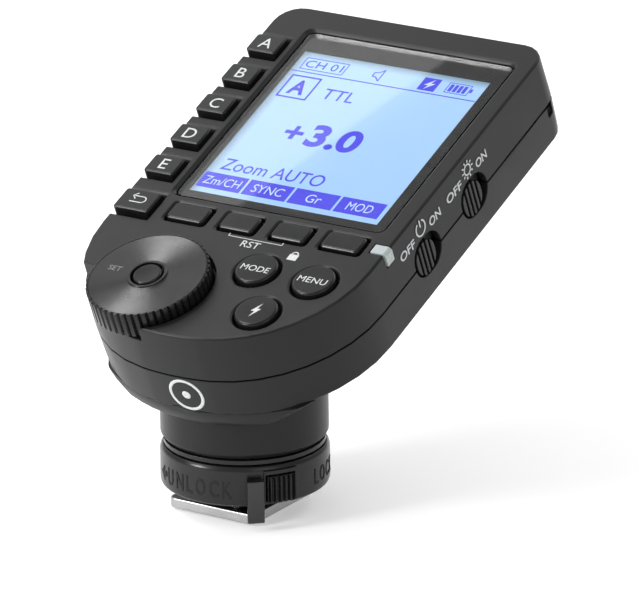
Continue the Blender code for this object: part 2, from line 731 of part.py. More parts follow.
def build_membranes():
    left = -HALF_WIDTH + WALL + 0.1 * MM
    right = SIDE_KEY_LEFT + SIDE_KEY_WIDTH + 0.3 * MM
    low = SOFT_KEY_V - SOFT_KEY_LENGTH / 2 - 0.9 * MM
    mid = SCREEN_NEAR_V - 0.8 * MM
    high = SIDE_KEY_FIRST_V + SIDE_KEY_LENGTH / 2 + 0.5 * MM
    end = SOFT_KEY_X + 2 * SOFT_KEY_PITCH
    x1, v1 = ROUND_KEYS["mode_key"]
    x2, v2 = ROUND_KEYS["menu_key"]
    x3, v3 = ROUND_KEYS["test_key"]
    reach = ROUND_KEY_RADIUS - 0.6 * MM
    near = v3 - reach + WALL
    plan = [(left, low), (x1 - reach, low), (x1 - reach, v1 - reach), (x3 - reach, near)]
    plan += [(x3 + reach, near), (x2 + reach, v2 - reach), (x2 + reach, low), (end, low)]
    plan += [(end, mid), (right, mid), (right, high), (left, high)]
    top = -MEMBRANE_TOP
    bottom = top - MEMBRANE_THICKNESS
    make("key_membrane", lofts([(plan, bottom), (plan, top)]), SILICONE, head)


def build_keys():
    for name, v, width, length in SIDE_KEYS:
        shape = rectangle(width, length, 0.5 * MM, (0.0, 0.0), 2)
        top = rectangle(width - 0.5 * MM, length - 0.5 * MM, 0.4 * MM, (0.0, 0.0), 2)
        sections = [(shape, -KEY_DEPTH), (shape, SIDE_KEY_RISE - 0.25 * MM), (top, SIDE_KEY_RISE)]
        make(name, lofts(sections), KEY_PLASTIC, head, (SIDE_KEY_LEFT + width / 2, v, 0.0))
    for name, x, v, width, length in SOFT_KEYS:
        shape = rectangle(width, length, 0.7 * MM, (0.0, 0.0), 2)
        top = rectangle(width - 0.6 * MM, length - 0.6 * MM, 0.5 * MM, (0.0, 0.0), 2)
        sections = [(shape, -KEY_DEPTH), (shape, SOFT_KEY_RISE - 0.3 * MM), (top, SOFT_KEY_RISE)]
        make(name, lofts(sections), KEY_PLASTIC, head, (x, v, 0.0))
    for name, (x, v) in ROUND_KEYS.items():
        r = ROUND_KEY_RADIUS
        h = ROUND_KEY_RISE
        sections = [(circle(r), -KEY_DEPTH), (circle(r), h - 0.5 * MM)]
        sections += [(circle(r - 0.15 * MM), h - 0.18 * MM), (circle(r - 0.5 * MM), h)]
        make(name, lofts(sections), KEY_PLASTIC, head, (x, v, 0.0))


# ---------------------------------------------------------------- dial, set button and encoder


def toothed(radius, depth):
    """A circle of shallow teeth, two points to a tooth."""
    points = []
    for i in range(2 * DIAL_TEETH):
        angle = math.pi * i / DIAL_TEETH
        r = radius if i % 2 else radius - depth
        points.append((r * math.cos(angle), r * math.sin(angle)))
    return points


def build_dial():
    at = (DIAL_X, DIAL_V, 0.0)
    bottom = -DIAL_POCKET + 0.4 * MM
    body = make(
        "select_dial",
        lofts(
            [
                (toothed(DIAL_RADIUS, TOOTH_DEPTH), bottom),
                (toothed(DIAL_RADIUS, TOOTH_DEPTH), DIAL_RISE - DIAL_CHAMFER),
                (toothed(DIAL_RADIUS - DIAL_CHAMFER, TOOTH_DEPTH), DIAL_RISE),
            ]
        ),
        KEY_PLASTIC,
        head,
        at,
    )
    hub_bottom = -DIAL_POCKET - POCKET_FLOOR + 0.1 * MM
    hub = [(circle(HUB_RADIUS), hub_bottom), (circle(HUB_RADIUS), 0.0)]
    apply_tool(body, tool("dial_hub", lofts(hub), head, at), "UNION")
    cap_bore = circle(SET_RADIUS + GAP)
    shaft_bore = circle(SHAFT_RADIUS + GAP)
    ledge = 0.3 * MM
    bore = [(shaft_bore, hub_bottom - OVERCUT), (shaft_bore, ledge)]
    bore += [(cap_bore, ledge), (cap_bore, DIAL_RISE + OVERCUT)]
    apply_tool(body, tool("dial_bore", lofts(bore), head, at))

    top = DIAL_RISE + 0.2 * MM
    stem = SHAFT_BORE - GAP
    profile = [(0.0, -3.8 * MM), (stem, -3.8 * MM), (stem, 0.9 * MM), (SET_RADIUS, 0.9 * MM)]
    profile += [(SET_RADIUS, top - 0.25 * MM), (SET_RADIUS - 0.25 * MM, top), (0.0, top - 0.1 * MM)]
    make("set_button", turned(profile), KEY_PLASTIC, head, at)

    low = -ENCODER_BOTTOM + 1.0 * MM
    tube = [(SHAFT_BORE, low), (SHAFT_RADIUS, low), (SHAFT_RADIUS, 0.0), (SHAFT_BORE, 0.0)]
    make("encoder_shaft", turned(tube, 24), STEEL, head, at)

    block = rectangle(2 * ENCODER_HALF, 2 * ENCODER_HALF, 0.6 * MM, (0.0, 0.0), 1)
    encoder_top = -BOARD_TOP - BOARD_THICKNESS - GAP
    encoder_loft = lofts([(block, -ENCODER_BOTTOM), (block, encoder_top)])
    encoder = make("rotary_encoder", encoder_loft, STEEL, head, at)
    hole = circle(SHAFT_RADIUS + GAP, count=24)
    hole_loft = lofts([(hole, -ENCODER_BOTTOM - OVERCUT), (hole, 0.0)])
    apply_tool(encoder, tool("encoder_hole", hole_loft, head, at))


# ---------------------------------------------------------------- slide switches, light pipe, ports


def build_switches():
    floor = HALF_WIDTH - WALL - GAP
    for label, v in SWITCH_V.items():
        rest = v - SWITCH_TRAVEL / 2
        body = rectangle(10.6 * MM, 7.2 * MM, 0.4 * MM, (v, SWITCH_W), 1)
        sections = [(body, floor - 4.2 * MM), (body, floor)]
        switch = make(label + "_switch_body", lofts(sections, place=along_x), GLOSS_BLACK, head)
        slot = rectangle(1.6 * MM + SWITCH_TRAVEL + 2 * GAP, 2.4 * MM, 0.2 * MM, (v, SWITCH_W), 1)
        slot_loft = lofts([(slot, floor - 2.4 * MM), (slot, floor + OVERCUT)], place=along_x)
        apply_tool(switch, tool(label + "_slot", slot_loft, head))

        outer = HALF_WIDTH + KNOB_PROUD
        shape = rectangle(KNOB_LENGTH, KNOB_HEIGHT, 2.9 * MM, (0.0, 0.0), 5)
        knob = make(
            label + "_switch_knob",
            lofts([(shape, floor + GAP), (shape, outer)], place=along_x),
            KEY_PLASTIC,
            head,
            (0.0, rest, SWITCH_W),
        )
        stem = rectangle(1.6 * MM, 1.6 * MM, 0.2 * MM, (0.0, 0.0), 1)
        stem_tool = tool(
            label + "_stem",
            lofts([(stem, floor - 1.6 * MM), (stem, floor + 1.0 * MM)], place=along_x),
            head,
            (0.0, rest, SWITCH_W),
        )
        apply_tool(knob, stem_tool, "UNION")
        pitch = KNOB_LENGTH / KNOB_RIBS
        grooves = []
        for i in range(KNOB_RIBS - 1):
            at = ((i - (KNOB_RIBS - 2) / 2) * pitch, 0.0)
            groove = rectangle(pitch * 0.45, KNOB_HEIGHT + OVERCUT, 0.1 * MM, at, 1)
            grooves.append([(groove, outer - 0.7 * MM), (groove, outer + OVERCUT)])
        grooves_loft = lofts(*grooves, place=along_x)
        apply_tool(knob, tool(label + "_grooves", grooves_loft, head, (0.0, rest, SWITCH_W)))


def build_pipe_and_ports():
    make("status_light_pipe", lofts(pipe_sections(0.0), place=across_v), WHITE_PLASTIC, head)
    wall_in = -HALF_WIDTH + 0.3 * MM
    shape = rectangle(*USB_SIZE, 1.2 * MM, (USB_V, PORT_W))
    port_loft = lofts([(shape, wall_in), (shape, wall_in + 7 * MM)], place=along_x)
    port = make("usb_port", port_loft, STEEL, head)
    mouth = rectangle(USB_SIZE[0] - 0.7 * MM, USB_SIZE[1] - 0.7 * MM, 0.9 * MM, (USB_V, PORT_W))
    mouth_loft = lofts([(mouth, wall_in - OVERCUT), (mouth, wall_in + 6 * MM)], place=along_x)
    apply_tool(port, tool("usb_mouth", mouth_loft, head))
    r = SYNC_RADIUS
    profile = [(1.3 * MM, 0.0), (r - 0.3 * MM, 0.0), (r, 0.3 * MM), (r, 1.4 * MM)]
    profile += [(r - 0.8 * MM, 1.4 * MM), (r - 0.8 * MM, 7.5 * MM), (1.3 * MM, 7.5 * MM)]
    make("sync_jack", turned(profile, 24, along_x), GLOSS_BLACK, head, (wall_in - 0.2 * MM, SYNC_V, PORT_W))


# ---------------------------------------------------------------- battery bay


def build_cells():
    nub = 1.0 * MM
    half = CELL_LENGTH / 2
    r = CELL_RADIUS
    profile = [(0.0, -half), (r - 0.6 * MM, -half), (r, -half + 0.5 * MM), (r, half - nub - 0.5 * MM)]
    profile += [(r - 0.6 * MM, half - nub), (2.7 * MM, half - nub), (2.7 * MM, half), (0.0, half)]
    for index, side in ((1, -1), (2, 1)):
        turn = (lambda a, b, c, s=side: (a, -s * c, b))
        at = (side * CELL_SPACING / 2, CELL_V, CELL_W)
        make(f"battery_cell_{index}", turned(profile, 24, turn), CELL_WRAP, head, at)


def build_contacts():
    bar = rectangle(26 * MM, 9 * MM, 1.0 * MM, (0.0, CELL_W), 2)
    near = CELL_V - CELL_LENGTH / 2 - GAP
    thick = 0.35 * MM
    make("battery_contact_near", lofts([(bar, near - thick), (bar, near)], place=along_y), STEEL, head)
    for index, side in ((1, -1), (2, 1)):
        bump = 1.3 * MM
        profile = [(0.0, 0.0), (5.0 * MM, 0.0), (5.0 * MM, -thick), (2.6 * MM, -thick)]
        profile += [(2.0 * MM, -bump), (0.0, -bump)]
        at = (side * CELL_SPACING / 2, INNER_FAR - GAP, CELL_W)
        make(f"battery_contact_far_{index}", turned(profile, 20, along_y), STEEL, head, at)


def build_door():
    """The door's own frame is its hinge pin: plate towards -v, swinging down off the belly."""
    at = (0.0, HINGE_V, HINGE_W)
    bottom = -HINGE_RADIUS + 0.05 * MM
    top = bottom + DOOR_THICKNESS - 0.1 * MM
    near = DOOR_NEAR_V - HINGE_V
    far = -HINGE_RADIUS - 3 * GAP
    wide = BELLY_HALF_WIDTH - 0.8 * MM - GAP
    slim = HINGE_HALF_LENGTH - 0.1 * MM
    corner = 0.8 * MM
    plan = [(corner - wide, near), (wide - corner, near), (wide, near + corner), (wide, far), (slim, far)]
    plan += [(slim, -0.05 * MM), (-slim, -0.05 * MM), (-slim, far), (-wide, far), (-wide, near + corner)]
    door = make("battery_door", lofts([(plan, bottom), (plan, top)]), PLASTIC, head, at)
    barrel = circle(HINGE_RADIUS, count=24)
    ends = [(barrel, -HINGE_HALF_LENGTH), (barrel, HINGE_HALF_LENGTH)]
    apply_tool(door, tool("door_barrel", lofts(ends, place=along_x), head, at), "UNION")
    bore = circle(HINGE_PIN_RADIUS + PIN_CLEARANCE, count=16)
    ends = [(bore, -HINGE_HALF_LENGTH - OVERCUT), (bore, HINGE_HALF_LENGTH + OVERCUT)]
    apply_tool(door, tool("door_bore", lofts(ends, place=along_x), head, at))
    grip = [
        (rectangle(12 * MM, 0.7 * MM, 0.3 * MM, (0.0, near + (4 + 1.8 * i) * MM), 2), bottom - OVERCUT)
        for i in range(4)
    ]
    grooves = [[section, (section[0], bottom + 0.4 * MM)] for section in grip]
    apply_tool(door, tool("door_grip", lofts(*grooves), head, at))

    pin = circle(HINGE_PIN_RADIUS, count=16)
    half = HINGE_HALF_LENGTH + LUG_LENGTH
    make("battery_door_hinge_pin", lofts([(pin, -half), (pin, half)], place=along_x), STEEL, head, at)


def build_housing_screws():
    head_bottom = -SLAB_DEPTH + 0.2 * MM
    head_top = head_bottom + 1.1 * MM
    tip = -6.8 * MM
    socket = 0.75 * MM
    profile = [(0.0, head_bottom + 0.6 * MM), (socket, head_bottom + 0.6 * MM), (socket, head_bottom)]
    profile += [(1.5 * MM, head_bottom), (1.5 * MM, head_top)]
    profile += [(0.75 * MM, head_top), (0.75 * MM, tip), (0.0, tip)]
    for i, (x, v) in enumerate(SCREW_PLACES):
        make(f"housing_screw_{i + 1}", turned(profile, 16), STEEL, head, (x, v, 0.0))


# ---------------------------------------------------------------- neck end: lens, base, ring, foot


def build_lens():
    r = LENS_RADIUS
    back = 12.6 * MM
    front = NECK_RADIUS + 0.3 * MM
    profile = [(0.0, back), (r, back), (r, front - 0.7 * MM)]
    profile += [(r - 0.8 * MM, front - 0.15 * MM), (0.0, front + 0.2 * MM)]
    make("focus_assist_lens", turned(profile, 32, along_y), RED_LENS, None, (0.0, 0.0, LENS_Z))


def build_base():
    collar_top = NECK_BOTTOM - GAP
    collar_bottom = RING_TOP + GAP
    spigot_top = NECK_BOTTOM + 3.5 * MM
    flange = (RING_BOTTOM - GAP, RING_BOTTOM + 0.3 * MM)
    profile = [
        (0.0, flange[0]),
        (FLANGE_RADIUS, flange[0]),
        (FLANGE_RADIUS, flange[1]),
        (SPINDLE_RADIUS, flange[1]),
        (SPINDLE_RADIUS, collar_bottom),
        (COLLAR_RADIUS, collar_bottom),
        (COLLAR_RADIUS, collar_top),
        (NECK_BORE - GAP, collar_top),
        (NECK_BORE - GAP, spigot_top),
        (BASE_CAVITY, spigot_top),
        (BASE_CAVITY, 6.2 * MM),
        (0.0, 6.2 * MM),
    ]
    base = make("shoe_base", turned(profile, 36), PLASTIC)
    rear = FOOT_REAR + 0.9 * MM
    front = FOOT_FRONT - 0.8 * MM
    plan = rectangle(2 * PILLAR_HALF_WIDTH, front - rear, 1.0 * MM, (0.0, (rear + front) / 2), 2)
    pillar = tool("pillar", lofts([(plan, FOOT_THICKNESS + GAP), (plan, 5.0 * MM)]))
    apply_tool(base, pillar, "UNION")
    pocket = rectangle(11.4 * MM, 6.7 * MM, 0.6 * MM, (0.0, -4.35 * MM), 2)
    holes = [[(pocket, 0.0), (pocket, 8 * MM)]]
    pin_hole = circle(LOCK_PIN_RADIUS + GAP, (0.0, LOCK_PIN_Y), 20)
    holes.append([(pin_hole, 0.0), (pin_hole, 8 * MM)])
    for x, y in SHOE_SCREWS:
        hole = circle(0.95 * MM, (x, y), 12)
        holes.append([(hole, 0.0), (hole, 5.2 * MM)])
    apply_tool(base, tool("base_holes", lofts(*holes)))


SHOE_SCREWS = [(side * SHOE_SCREW_X, y) for y in (FOOT_REAR + 2.1 * MM, LOCK_PIN_Y) for side in (-1, 1)]


def build_ring():
    r = RING_RADIUS
    profile = [
        (RING_BORE, RING_BOTTOM + 0.6 * MM),
        (FLANGE_RADIUS + GAP, RING_BOTTOM + 0.6 * MM),
        (FLANGE_RADIUS + GAP, RING_BOTTOM),
        (r - 0.6 * MM, RING_BOTTOM),
        (r - 0.15 * MM, RING_BOTTOM + 0.3 * MM),
        (r, RING_BOTTOM + 0.9 * MM),
        (r, RING_TOP - 1.0 * MM),
        (r - 0.15 * MM, RING_TOP - 0.5 * MM),
        (r - 0.5 * MM, RING_TOP),
        (RING_BORE, RING_TOP),
    ]
    ring = make("lock_ring", turned(profile, 52), PLASTIC)
    frame = sector(r - 0.8 * MM, r + 0.45 * MM, RELEASE_ANGLES[0] - 2.4, RELEASE_ANGLES[1] + 3.2, 8)
    apply_tool(ring, tool("ring_frame", lofts([(frame, 4.4 * MM), (frame, 10.6 * MM)])), "UNION")
    window = sector(RING_BORE - 0.15 * MM, r + OVERCUT, RELEASE_ANGLES[0] - 1.2, RELEASE_ANGLES[1] + 1.2, 6)
    slot = sector(r - 1.4 * MM, r + OVERCUT, LEVER_ANGLES[0] + 2.2, LEVER_ANGLES[1] - 2.2, 3)
    cuts = [[(window, RING_BOTTOM - OVERCUT), (window, 9.8 * MM)], [(slot, 4.7 * MM), (slot, 8.7 * MM)]]
    apply_tool(ring, tool("ring_cuts", lofts(*cuts)))

    block = sector(r + GAP, r + 1.9 * MM, *LEVER_ANGLES, 3)
    lever = make("lock_lever", lofts([(block, 1.3 * MM), (block, 9.3 * MM)]), GLOSS_BLACK)
    root = sector(r - 1.1 * MM, r + 0.8 * MM, LEVER_ANGLES[0] + 3.2, LEVER_ANGLES[1] - 3.2, 2)
    apply_tool(lever, tool("lever_root", lofts([(root, 5.0 * MM), (root, 8.4 * MM)])), "UNION")


def build_release_button():
    """A ribbed pad that is pressed towards the ring's axis."""
    start, end = RELEASE_ANGLES
    steps = 22
    outer = []
    for i in range(steps + 1):
        angle = math.radians(start + (end - start) * i / steps - 90)
        valley = i % 4 in (0, 1)
        radius = RING_RADIUS + (0.25 * MM if valley else 0.85 * MM)
        outer.append((radius * math.cos(angle), radius * math.sin(angle)))
    angles = [math.radians(start + (end - start) * i / 4 - 90) for i in range(4, -1, -1)]
    inner_radius = RING_RADIUS - 1.1 * MM
    plan = outer + [(inner_radius * math.cos(a), inner_radius * math.sin(a)) for a in angles]
    make("ring_release_button", lofts([(plan, 4.45 * MM), (plan, 9.5 * MM)]), KEY_PLASTIC)


WINDOW_REAR = FOOT_REAR + 3.85 * MM
WINDOW_FRONT = LOCK_PIN_Y - 2.2 * MM
WINDOW_HALF = 6.15 * MM


def build_foot():
    middle = (FOOT_REAR + FOOT_FRONT) / 2
    length = FOOT_FRONT - FOOT_REAR
    lower = rectangle(2 * FOOT_HALF_WIDTH - 0.4 * MM, length - 0.4 * MM, 1.3 * MM, (0.0, middle))
    full = rectangle(2 * FOOT_HALF_WIDTH, length, 1.5 * MM, (0.0, middle))
    t = FOOT_THICKNESS
    foot = make("shoe_foot", lofts([(lower, 0.0), (full, 0.2 * MM), (full, t - 0.2 * MM), (lower, t)]), STEEL)
    window_v = (WINDOW_REAR + WINDOW_FRONT) / 2
    window = rectangle(2 * WINDOW_HALF, WINDOW_FRONT - WINDOW_REAR, 0.8 * MM, (0.0, window_v), 2)
    cuts = [[(window, -OVERCUT), (window, t + OVERCUT)]]
    pin_hole = circle(LOCK_PIN_RADIUS + GAP, (0.0, LOCK_PIN_Y), 20)
    cuts.append([(pin_hole, -OVERCUT), (pin_hole, t + OVERCUT)])
    for x, y in SHOE_SCREWS:
        at = (x, y)
        cuts.append(
            [
                (circle(1.6 * MM, at, 16), -0.3 * MM),
                (circle(1.35 * MM, at, 16), 0.0),
                (circle(0.95 * MM, at, 16), 1.0 * MM),
                (circle(0.95 * MM, at, 16), t + OVERCUT),
            ]
        )
    apply_tool(foot, tool("foot_cuts", lofts(*cuts)))

    block_length = WINDOW_FRONT - WINDOW_REAR - 2 * GAP
    block = rectangle(2 * (WINDOW_HALF - GAP), block_length, 0.6 * MM, (0.0, window_v), 2)
    insulator = make("contact_insulator", lofts([(block, 0.0), (block, t)]), GLOSS_BLACK)
    holes = [(circle(1.25 * MM, CONTACT_CENTRE, 20), 1)]
    holes += [(circle(0.75 * MM, (x, CONTACT_ROW_V), 14), 1) for x in CONTACT_ROW_X]
    groups = [[(hole, -OVERCUT), (hole, t + OVERCUT)] for hole, _ in holes]
    apply_tool(insulator, tool("insulator_holes", lofts(*groups)))

    for i, (x, y) in enumerate(SHOE_SCREWS):
        profile = [(0.0, 0.5 * MM), (0.45 * MM, 0.5 * MM), (0.45 * MM, 0.1 * MM), (1.05 * MM, 0.1 * MM)]
        profile += [(0.65 * MM, 0.95 * MM), (0.65 * MM, 4.8 * MM), (0.0, 4.8 * MM)]
        make(f"shoe_screw_{i + 1}", turned(profile, 14), STEEL, None, (x, y, 0.0))


def build_shoe_contacts():
    def contact(radius):
        return [
            (0.0, -CONTACT_REACH),
            (radius * 0.6, -CONTACT_REACH),
            (radius, -CONTACT_REACH + radius * 0.35),
            (radius, 2.7 * MM),
            (radius + 0.4 * MM, 2.7 * MM),
            (radius + 0.4 * MM, 3.2 * MM),
            (radius * 0.8, 3.2 * MM),
            (radius * 0.8, 5.4 * MM),
            (0.0, 5.4 * MM),
        ]

    make("contact_centre", turned(contact(1.0 * MM), 20), GOLD, None, (*CONTACT_CENTRE, 0.0))
    for i, x in enumerate(CONTACT_ROW_X):
        make(f"contact_{i + 1}", turned(contact(0.5 * MM), 14), GOLD, None, (x, CONTACT_ROW_V, 0.0))


def build_lock_pin():
    r = LOCK_PIN_RADIUS
    profile = [(0.0, 0.1 * MM), (r - 0.25 * MM, 0.1 * MM), (r, 0.4 * MM), (r, 9.4 * MM)]
    profile += [(1.9 * MM, 9.4 * MM), (1.9 * MM, 10.2 * MM), (0.0, 10.2 * MM)]
    make("lock_pin", turned(profile, 20), STEEL, None, (0.0, LOCK_PIN_Y, 0.0))

    wire = 0.17 * MM
    coil = 1.45 * MM
    low = 6.7 * MM
    high = 9.1 * MM
    turns = 3
    per_turn = 9
    sides = 5

    def build(work):
        rings = []
        for i in range(turns * per_turn + 1):
            share = i / (turns * per_turn)
            angle = 2 * math.pi * i / per_turn
            out = Vector((math.cos(angle), math.sin(angle), 0.0))
            middle = out * coil + Vector((0.0, 0.0, low + (high - low) * share))
            ring = []
            for k in range(sides):
                turn = 2 * math.pi * k / sides
                lift = Vector((0.0, 0.0, wire * math.sin(turn)))
                ring.append(work.verts.new(middle + out * (wire * math.cos(turn)) + lift))
            rings.append(ring)
        for a, b in zip(rings, rings[1:]):
            for k in range(sides):
                j = (k + 1) % sides
                work.faces.new((a[k], a[j], b[j], b[k]))
        work.faces.new(rings[0][::-1])
        work.faces.new(rings[-1])

    make("lock_pin_spring", build, STEEL, None, (0.0, LOCK_PIN_Y, 0.0))


build_upper_housing()
build_lower_housing()
build_display()
build_membranes()
build_keys()
build_dial()
build_switches()
build_pipe_and_ports()
build_cells()
build_contacts()
build_door()
build_housing_screws()
build_lens()
build_base()
build_ring()
build_release_button()
build_foot()
build_shoe_contacts()
build_lock_pin()
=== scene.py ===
"""Looks for the wireless flash trigger: materials, labels, display graphics, light and camera."""

import math

import bmesh
import bpy
from mathutils import Matrix, Vector


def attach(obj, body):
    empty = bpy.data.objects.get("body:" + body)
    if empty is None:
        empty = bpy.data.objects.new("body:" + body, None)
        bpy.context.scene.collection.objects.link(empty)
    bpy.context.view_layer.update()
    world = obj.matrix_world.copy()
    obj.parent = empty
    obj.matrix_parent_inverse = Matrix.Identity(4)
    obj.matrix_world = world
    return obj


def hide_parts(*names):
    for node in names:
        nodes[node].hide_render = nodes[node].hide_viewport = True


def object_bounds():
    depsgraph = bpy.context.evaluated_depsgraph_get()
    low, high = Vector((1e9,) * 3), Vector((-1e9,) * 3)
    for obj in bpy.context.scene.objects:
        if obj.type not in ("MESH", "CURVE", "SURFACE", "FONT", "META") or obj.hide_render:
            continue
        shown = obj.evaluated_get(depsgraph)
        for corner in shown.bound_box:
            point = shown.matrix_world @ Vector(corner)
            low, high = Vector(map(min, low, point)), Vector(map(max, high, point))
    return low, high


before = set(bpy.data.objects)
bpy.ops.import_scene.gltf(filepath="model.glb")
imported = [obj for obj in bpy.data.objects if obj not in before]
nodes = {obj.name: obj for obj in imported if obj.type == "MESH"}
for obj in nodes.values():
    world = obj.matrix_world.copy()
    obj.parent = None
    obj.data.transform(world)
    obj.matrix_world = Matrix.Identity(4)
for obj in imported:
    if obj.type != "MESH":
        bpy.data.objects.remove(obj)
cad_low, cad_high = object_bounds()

MM = 0.001
# The head's plane: x to the right, y up the display, z out of its face. Sizes are in millimetres.
TILT = math.radians(23.0)
HEAD = Matrix.Translation((0.0, 29.399 * MM, 62.028 * MM)) @ Matrix.Rotation(TILT, 4, "X")
HEAD_BACK = HEAD.inverted()
DIAL = (-9.57, -48.1)
SCREEN = (1.79, 40.5, 42.1)
LCD_LEFT, LCD_FAR = SCREEN[0] - SCREEN[1] / 2 - 0.4, SCREEN[2] / 2 + 0.4
# Widths in millimetres of the painted frame shadow along the display's left and far edges.
LCD_SHADE_LEFT, LCD_SHADE_FAR = 2.5, 2.3
RING_R = 15.39
BODY = "trigger_body"


# ------------------------------------------------------------------ materials


class Look:
    """A Principled material built node by node."""

    def __init__(self, name, color, rough, metallic=0.0, **sockets):
        self.mat = bpy.data.materials.new(name)
        self.mat.use_nodes = True
        self.tree = self.mat.node_tree
        self.shader = self.tree.nodes["Principled BSDF"]
        self.set("Base Color", (*color, 1.0))
        self.set("Roughness", rough)
        self.set("Metallic", metallic)
        for key, value in sockets.items():
            self.set(key.replace("_", " "), value)
        self.color = color
        self.rough = rough

    def set(self, socket, value):
        self.shader.inputs[socket].default_value = value

    def new(self, kind, **values):
        node = self.tree.nodes.new(kind)
        for key, value in values.items():
            if hasattr(node, key):
                setattr(node, key, value)
            else:
                node.inputs[key.replace("_", " ")].default_value = value
        return node

    def link(self, a, b):
        self.tree.links.new(a, b)

    def coords(self, matrix=None):
        """Object coordinates, in metres, seen from the frame that matrix takes the row's points to."""
        tex = self.new("ShaderNodeTexCoord")
        if matrix is None:
            return tex.outputs["Object"]
        mapping = self.new("ShaderNodeMapping")
        mapping.inputs["Location"].default_value = matrix.to_translation()
        mapping.inputs["Rotation"].default_value = matrix.to_euler()
        self.link(tex.outputs["Object"], mapping.inputs["Vector"])
        return mapping.outputs["Vector"]

    def noise(self, vector, scale, detail=3.0, rough=0.55):
        node = self.new("ShaderNodeTexNoise")
        node.inputs["Scale"].default_value = scale
        node.inputs["Detail"].default_value = detail
        node.inputs["Roughness"].default_value = rough
        self.link(vector, node.inputs["Vector"])
        return node.outputs["Fac"]

    def remap(self, value, low, high, from_low=0.3, from_high=0.7):
        node = self.new("ShaderNodeMapRange")
        limits = {"From Min": from_low, "From Max": from_high, "To Min": low, "To Max": high}
        for key, number in limits.items():
            node.inputs[key].default_value = number
        self.link(value, node.inputs["Value"])
        return node.outputs["Result"]

    def vary_rough(self, value, spread):
        rough = self.remap(value, self.rough - spread, self.rough + spread)
        self.link(rough, self.shader.inputs["Roughness"])

    def vary_color(self, value, low, high):
        ramp = self.new("ShaderNodeValToRGB")
        ramp.color_ramp.elements[0].position = 0.3
        ramp.color_ramp.elements[1].position = 0.7
        ramp.color_ramp.elements[0].color = (*[c * low for c in self.color], 1.0)
        ramp.color_ramp.elements[1].color = (*[min(1.0, c * high) for c in self.color], 1.0)
        self.link(value, ramp.inputs["Fac"])
        self.link(ramp.outputs["Color"], self.shader.inputs["Base Color"])

    def bump(self, value, distance, strength=1.0):
        node = self.new("ShaderNodeBump")
        node.inputs["Distance"].default_value = distance
        node.inputs["Strength"].default_value = strength
        self.link(value, node.inputs["Height"])
        self.link(node.outputs["Normal"], self.shader.inputs["Normal"])


def moulded(name, color, rough, grain=0.012, scale=3200.0, spread=0.05, **sockets):
    """Moulded plastic: a fine spark-eroded grain, with slow changes of gloss and shade."""
    look = Look(name, color, rough, **sockets)
    where = look.coords()
    fine = look.noise(where, scale, 2.0)
    slow = look.noise(where, 95.0, 4.0)
    look.vary_rough(slow, spread)
    look.vary_color(slow, 0.9, 1.12)
    look.bump(fine, grain * MM, 0.5)
    return look.mat


def painted(name, color, rough=0.5):
    """Printed ink, also used for the painted shade of the engraved letters: almost flat, slightly uneven in
    cover.
    """
    look = Look(name, color, rough)
    speck = look.noise(look.coords(), 2600.0, 3.0)
    look.vary_color(speck, 0.86, 1.06)
    look.bump(speck, 0.004 * MM, 0.4)
    return look.mat


def brushed(name, color, rough, axis_scale=(400.0, 9000.0, 9000.0), metallic=1.0):
    look = Look(name, color, rough, metallic)
    tex = look.new("ShaderNodeTexCoord")
    mapping = look.new("ShaderNodeMapping")
    mapping.inputs["Scale"].default_value = axis_scale
    look.link(tex.outputs["Object"], mapping.inputs["Vector"])
    lines = look.noise(mapping.outputs["Vector"], 1.0, 4.0, 0.65)
    blotch = look.noise(tex.outputs["Object"], 350.0, 4.0)
    look.vary_rough(blotch, 0.09)
    look.vary_color(lines, 0.82, 1.1)
    look.bump(lines, 0.006 * MM, 0.6)
    return look.mat


housing = moulded("housing_satin", (0.0092, 0.0093, 0.0096), 0.36, 0.005, 3000.0, Specular_IOR_Level=0.22)
ring_mat = moulded("ring_satin", (0.0075, 0.0076, 0.0078), 0.27, 0.005, 3400.0, Specular_IOR_Level=0.32)
keys_mat = moulded("key_satin", (0.0082, 0.0083, 0.0086), 0.25, 0.004, 3600.0, Specular_IOR_Level=0.24)
gloss = moulded("gloss_black_moulding", (0.004, 0.004, 0.0043), 0.14, 0.002, 1500.0, 0.02, Coat_Weight=0.15)
dark = moulded("dark_fill", (0.006, 0.006, 0.0065), 0.6, 0.006, 3000.0)
ink = painted("label_ink", (0.54, 0.55, 0.56), 0.55)
dim_ink = painted("label_ink_dim", (0.16, 0.16, 0.165), 0.5)
# Painted shade: this near-black stands in for the shade inside the engraved letters on the lock ring.
engrave = painted("engraving_painted_shade", (0.002, 0.002, 0.002), 0.8)
pipe_mat = moulded("light_pipe_acrylic", (0.42, 0.42, 0.41), 0.3, 0.004, 2500.0, 0.05, Subsurface_Weight=0.2)
steel = brushed("brushed_steel", (0.66, 0.66, 0.67), 0.26)
plate = brushed("foot_steel", (0.42, 0.42, 0.425), 0.33, (300.0, 7000.0, 9000.0))
gold = brushed("gold_plate", (0.86, 0.64, 0.30), 0.22, (3000.0, 3000.0, 3000.0))
silicone = moulded("silicone_rubber", (0.22, 0.22, 0.23), 0.7, 0.010, 2800.0)
white = moulded("white_moulding", (0.70, 0.70, 0.69), 0.4, 0.006, 2600.0)


def make_board():
    look = Look("circuit_board", (0.02, 0.13, 0.055), 0.4)
    where = look.coords(HEAD_BACK)
    cells = look.new("ShaderNodeTexVoronoi", distance="MANHATTAN", feature="F1")
    cells.inputs["Scale"].default_value = 420.0
    look.link(where, cells.inputs["Vector"])
    look.vary_color(cells.outputs["Distance"], 0.6, 1.7)
    look.vary_rough(look.noise(where, 600.0), 0.1)
    look.bump(cells.outputs["Distance"], 0.03 * MM, 0.5)
    return look.mat


def make_cell():
    look = Look("cell_sleeve", (0.05, 0.16, 0.075), 0.3, Coat_Weight=0.5)
    where = look.coords(HEAD_BACK)
    slow = look.noise(where, 160.0, 4.0)
    look.vary_color(slow, 0.8, 1.25)
    look.vary_rough(slow, 0.08)
    look.bump(look.noise(where, 900.0), 0.02 * MM, 0.4)
    return look.mat


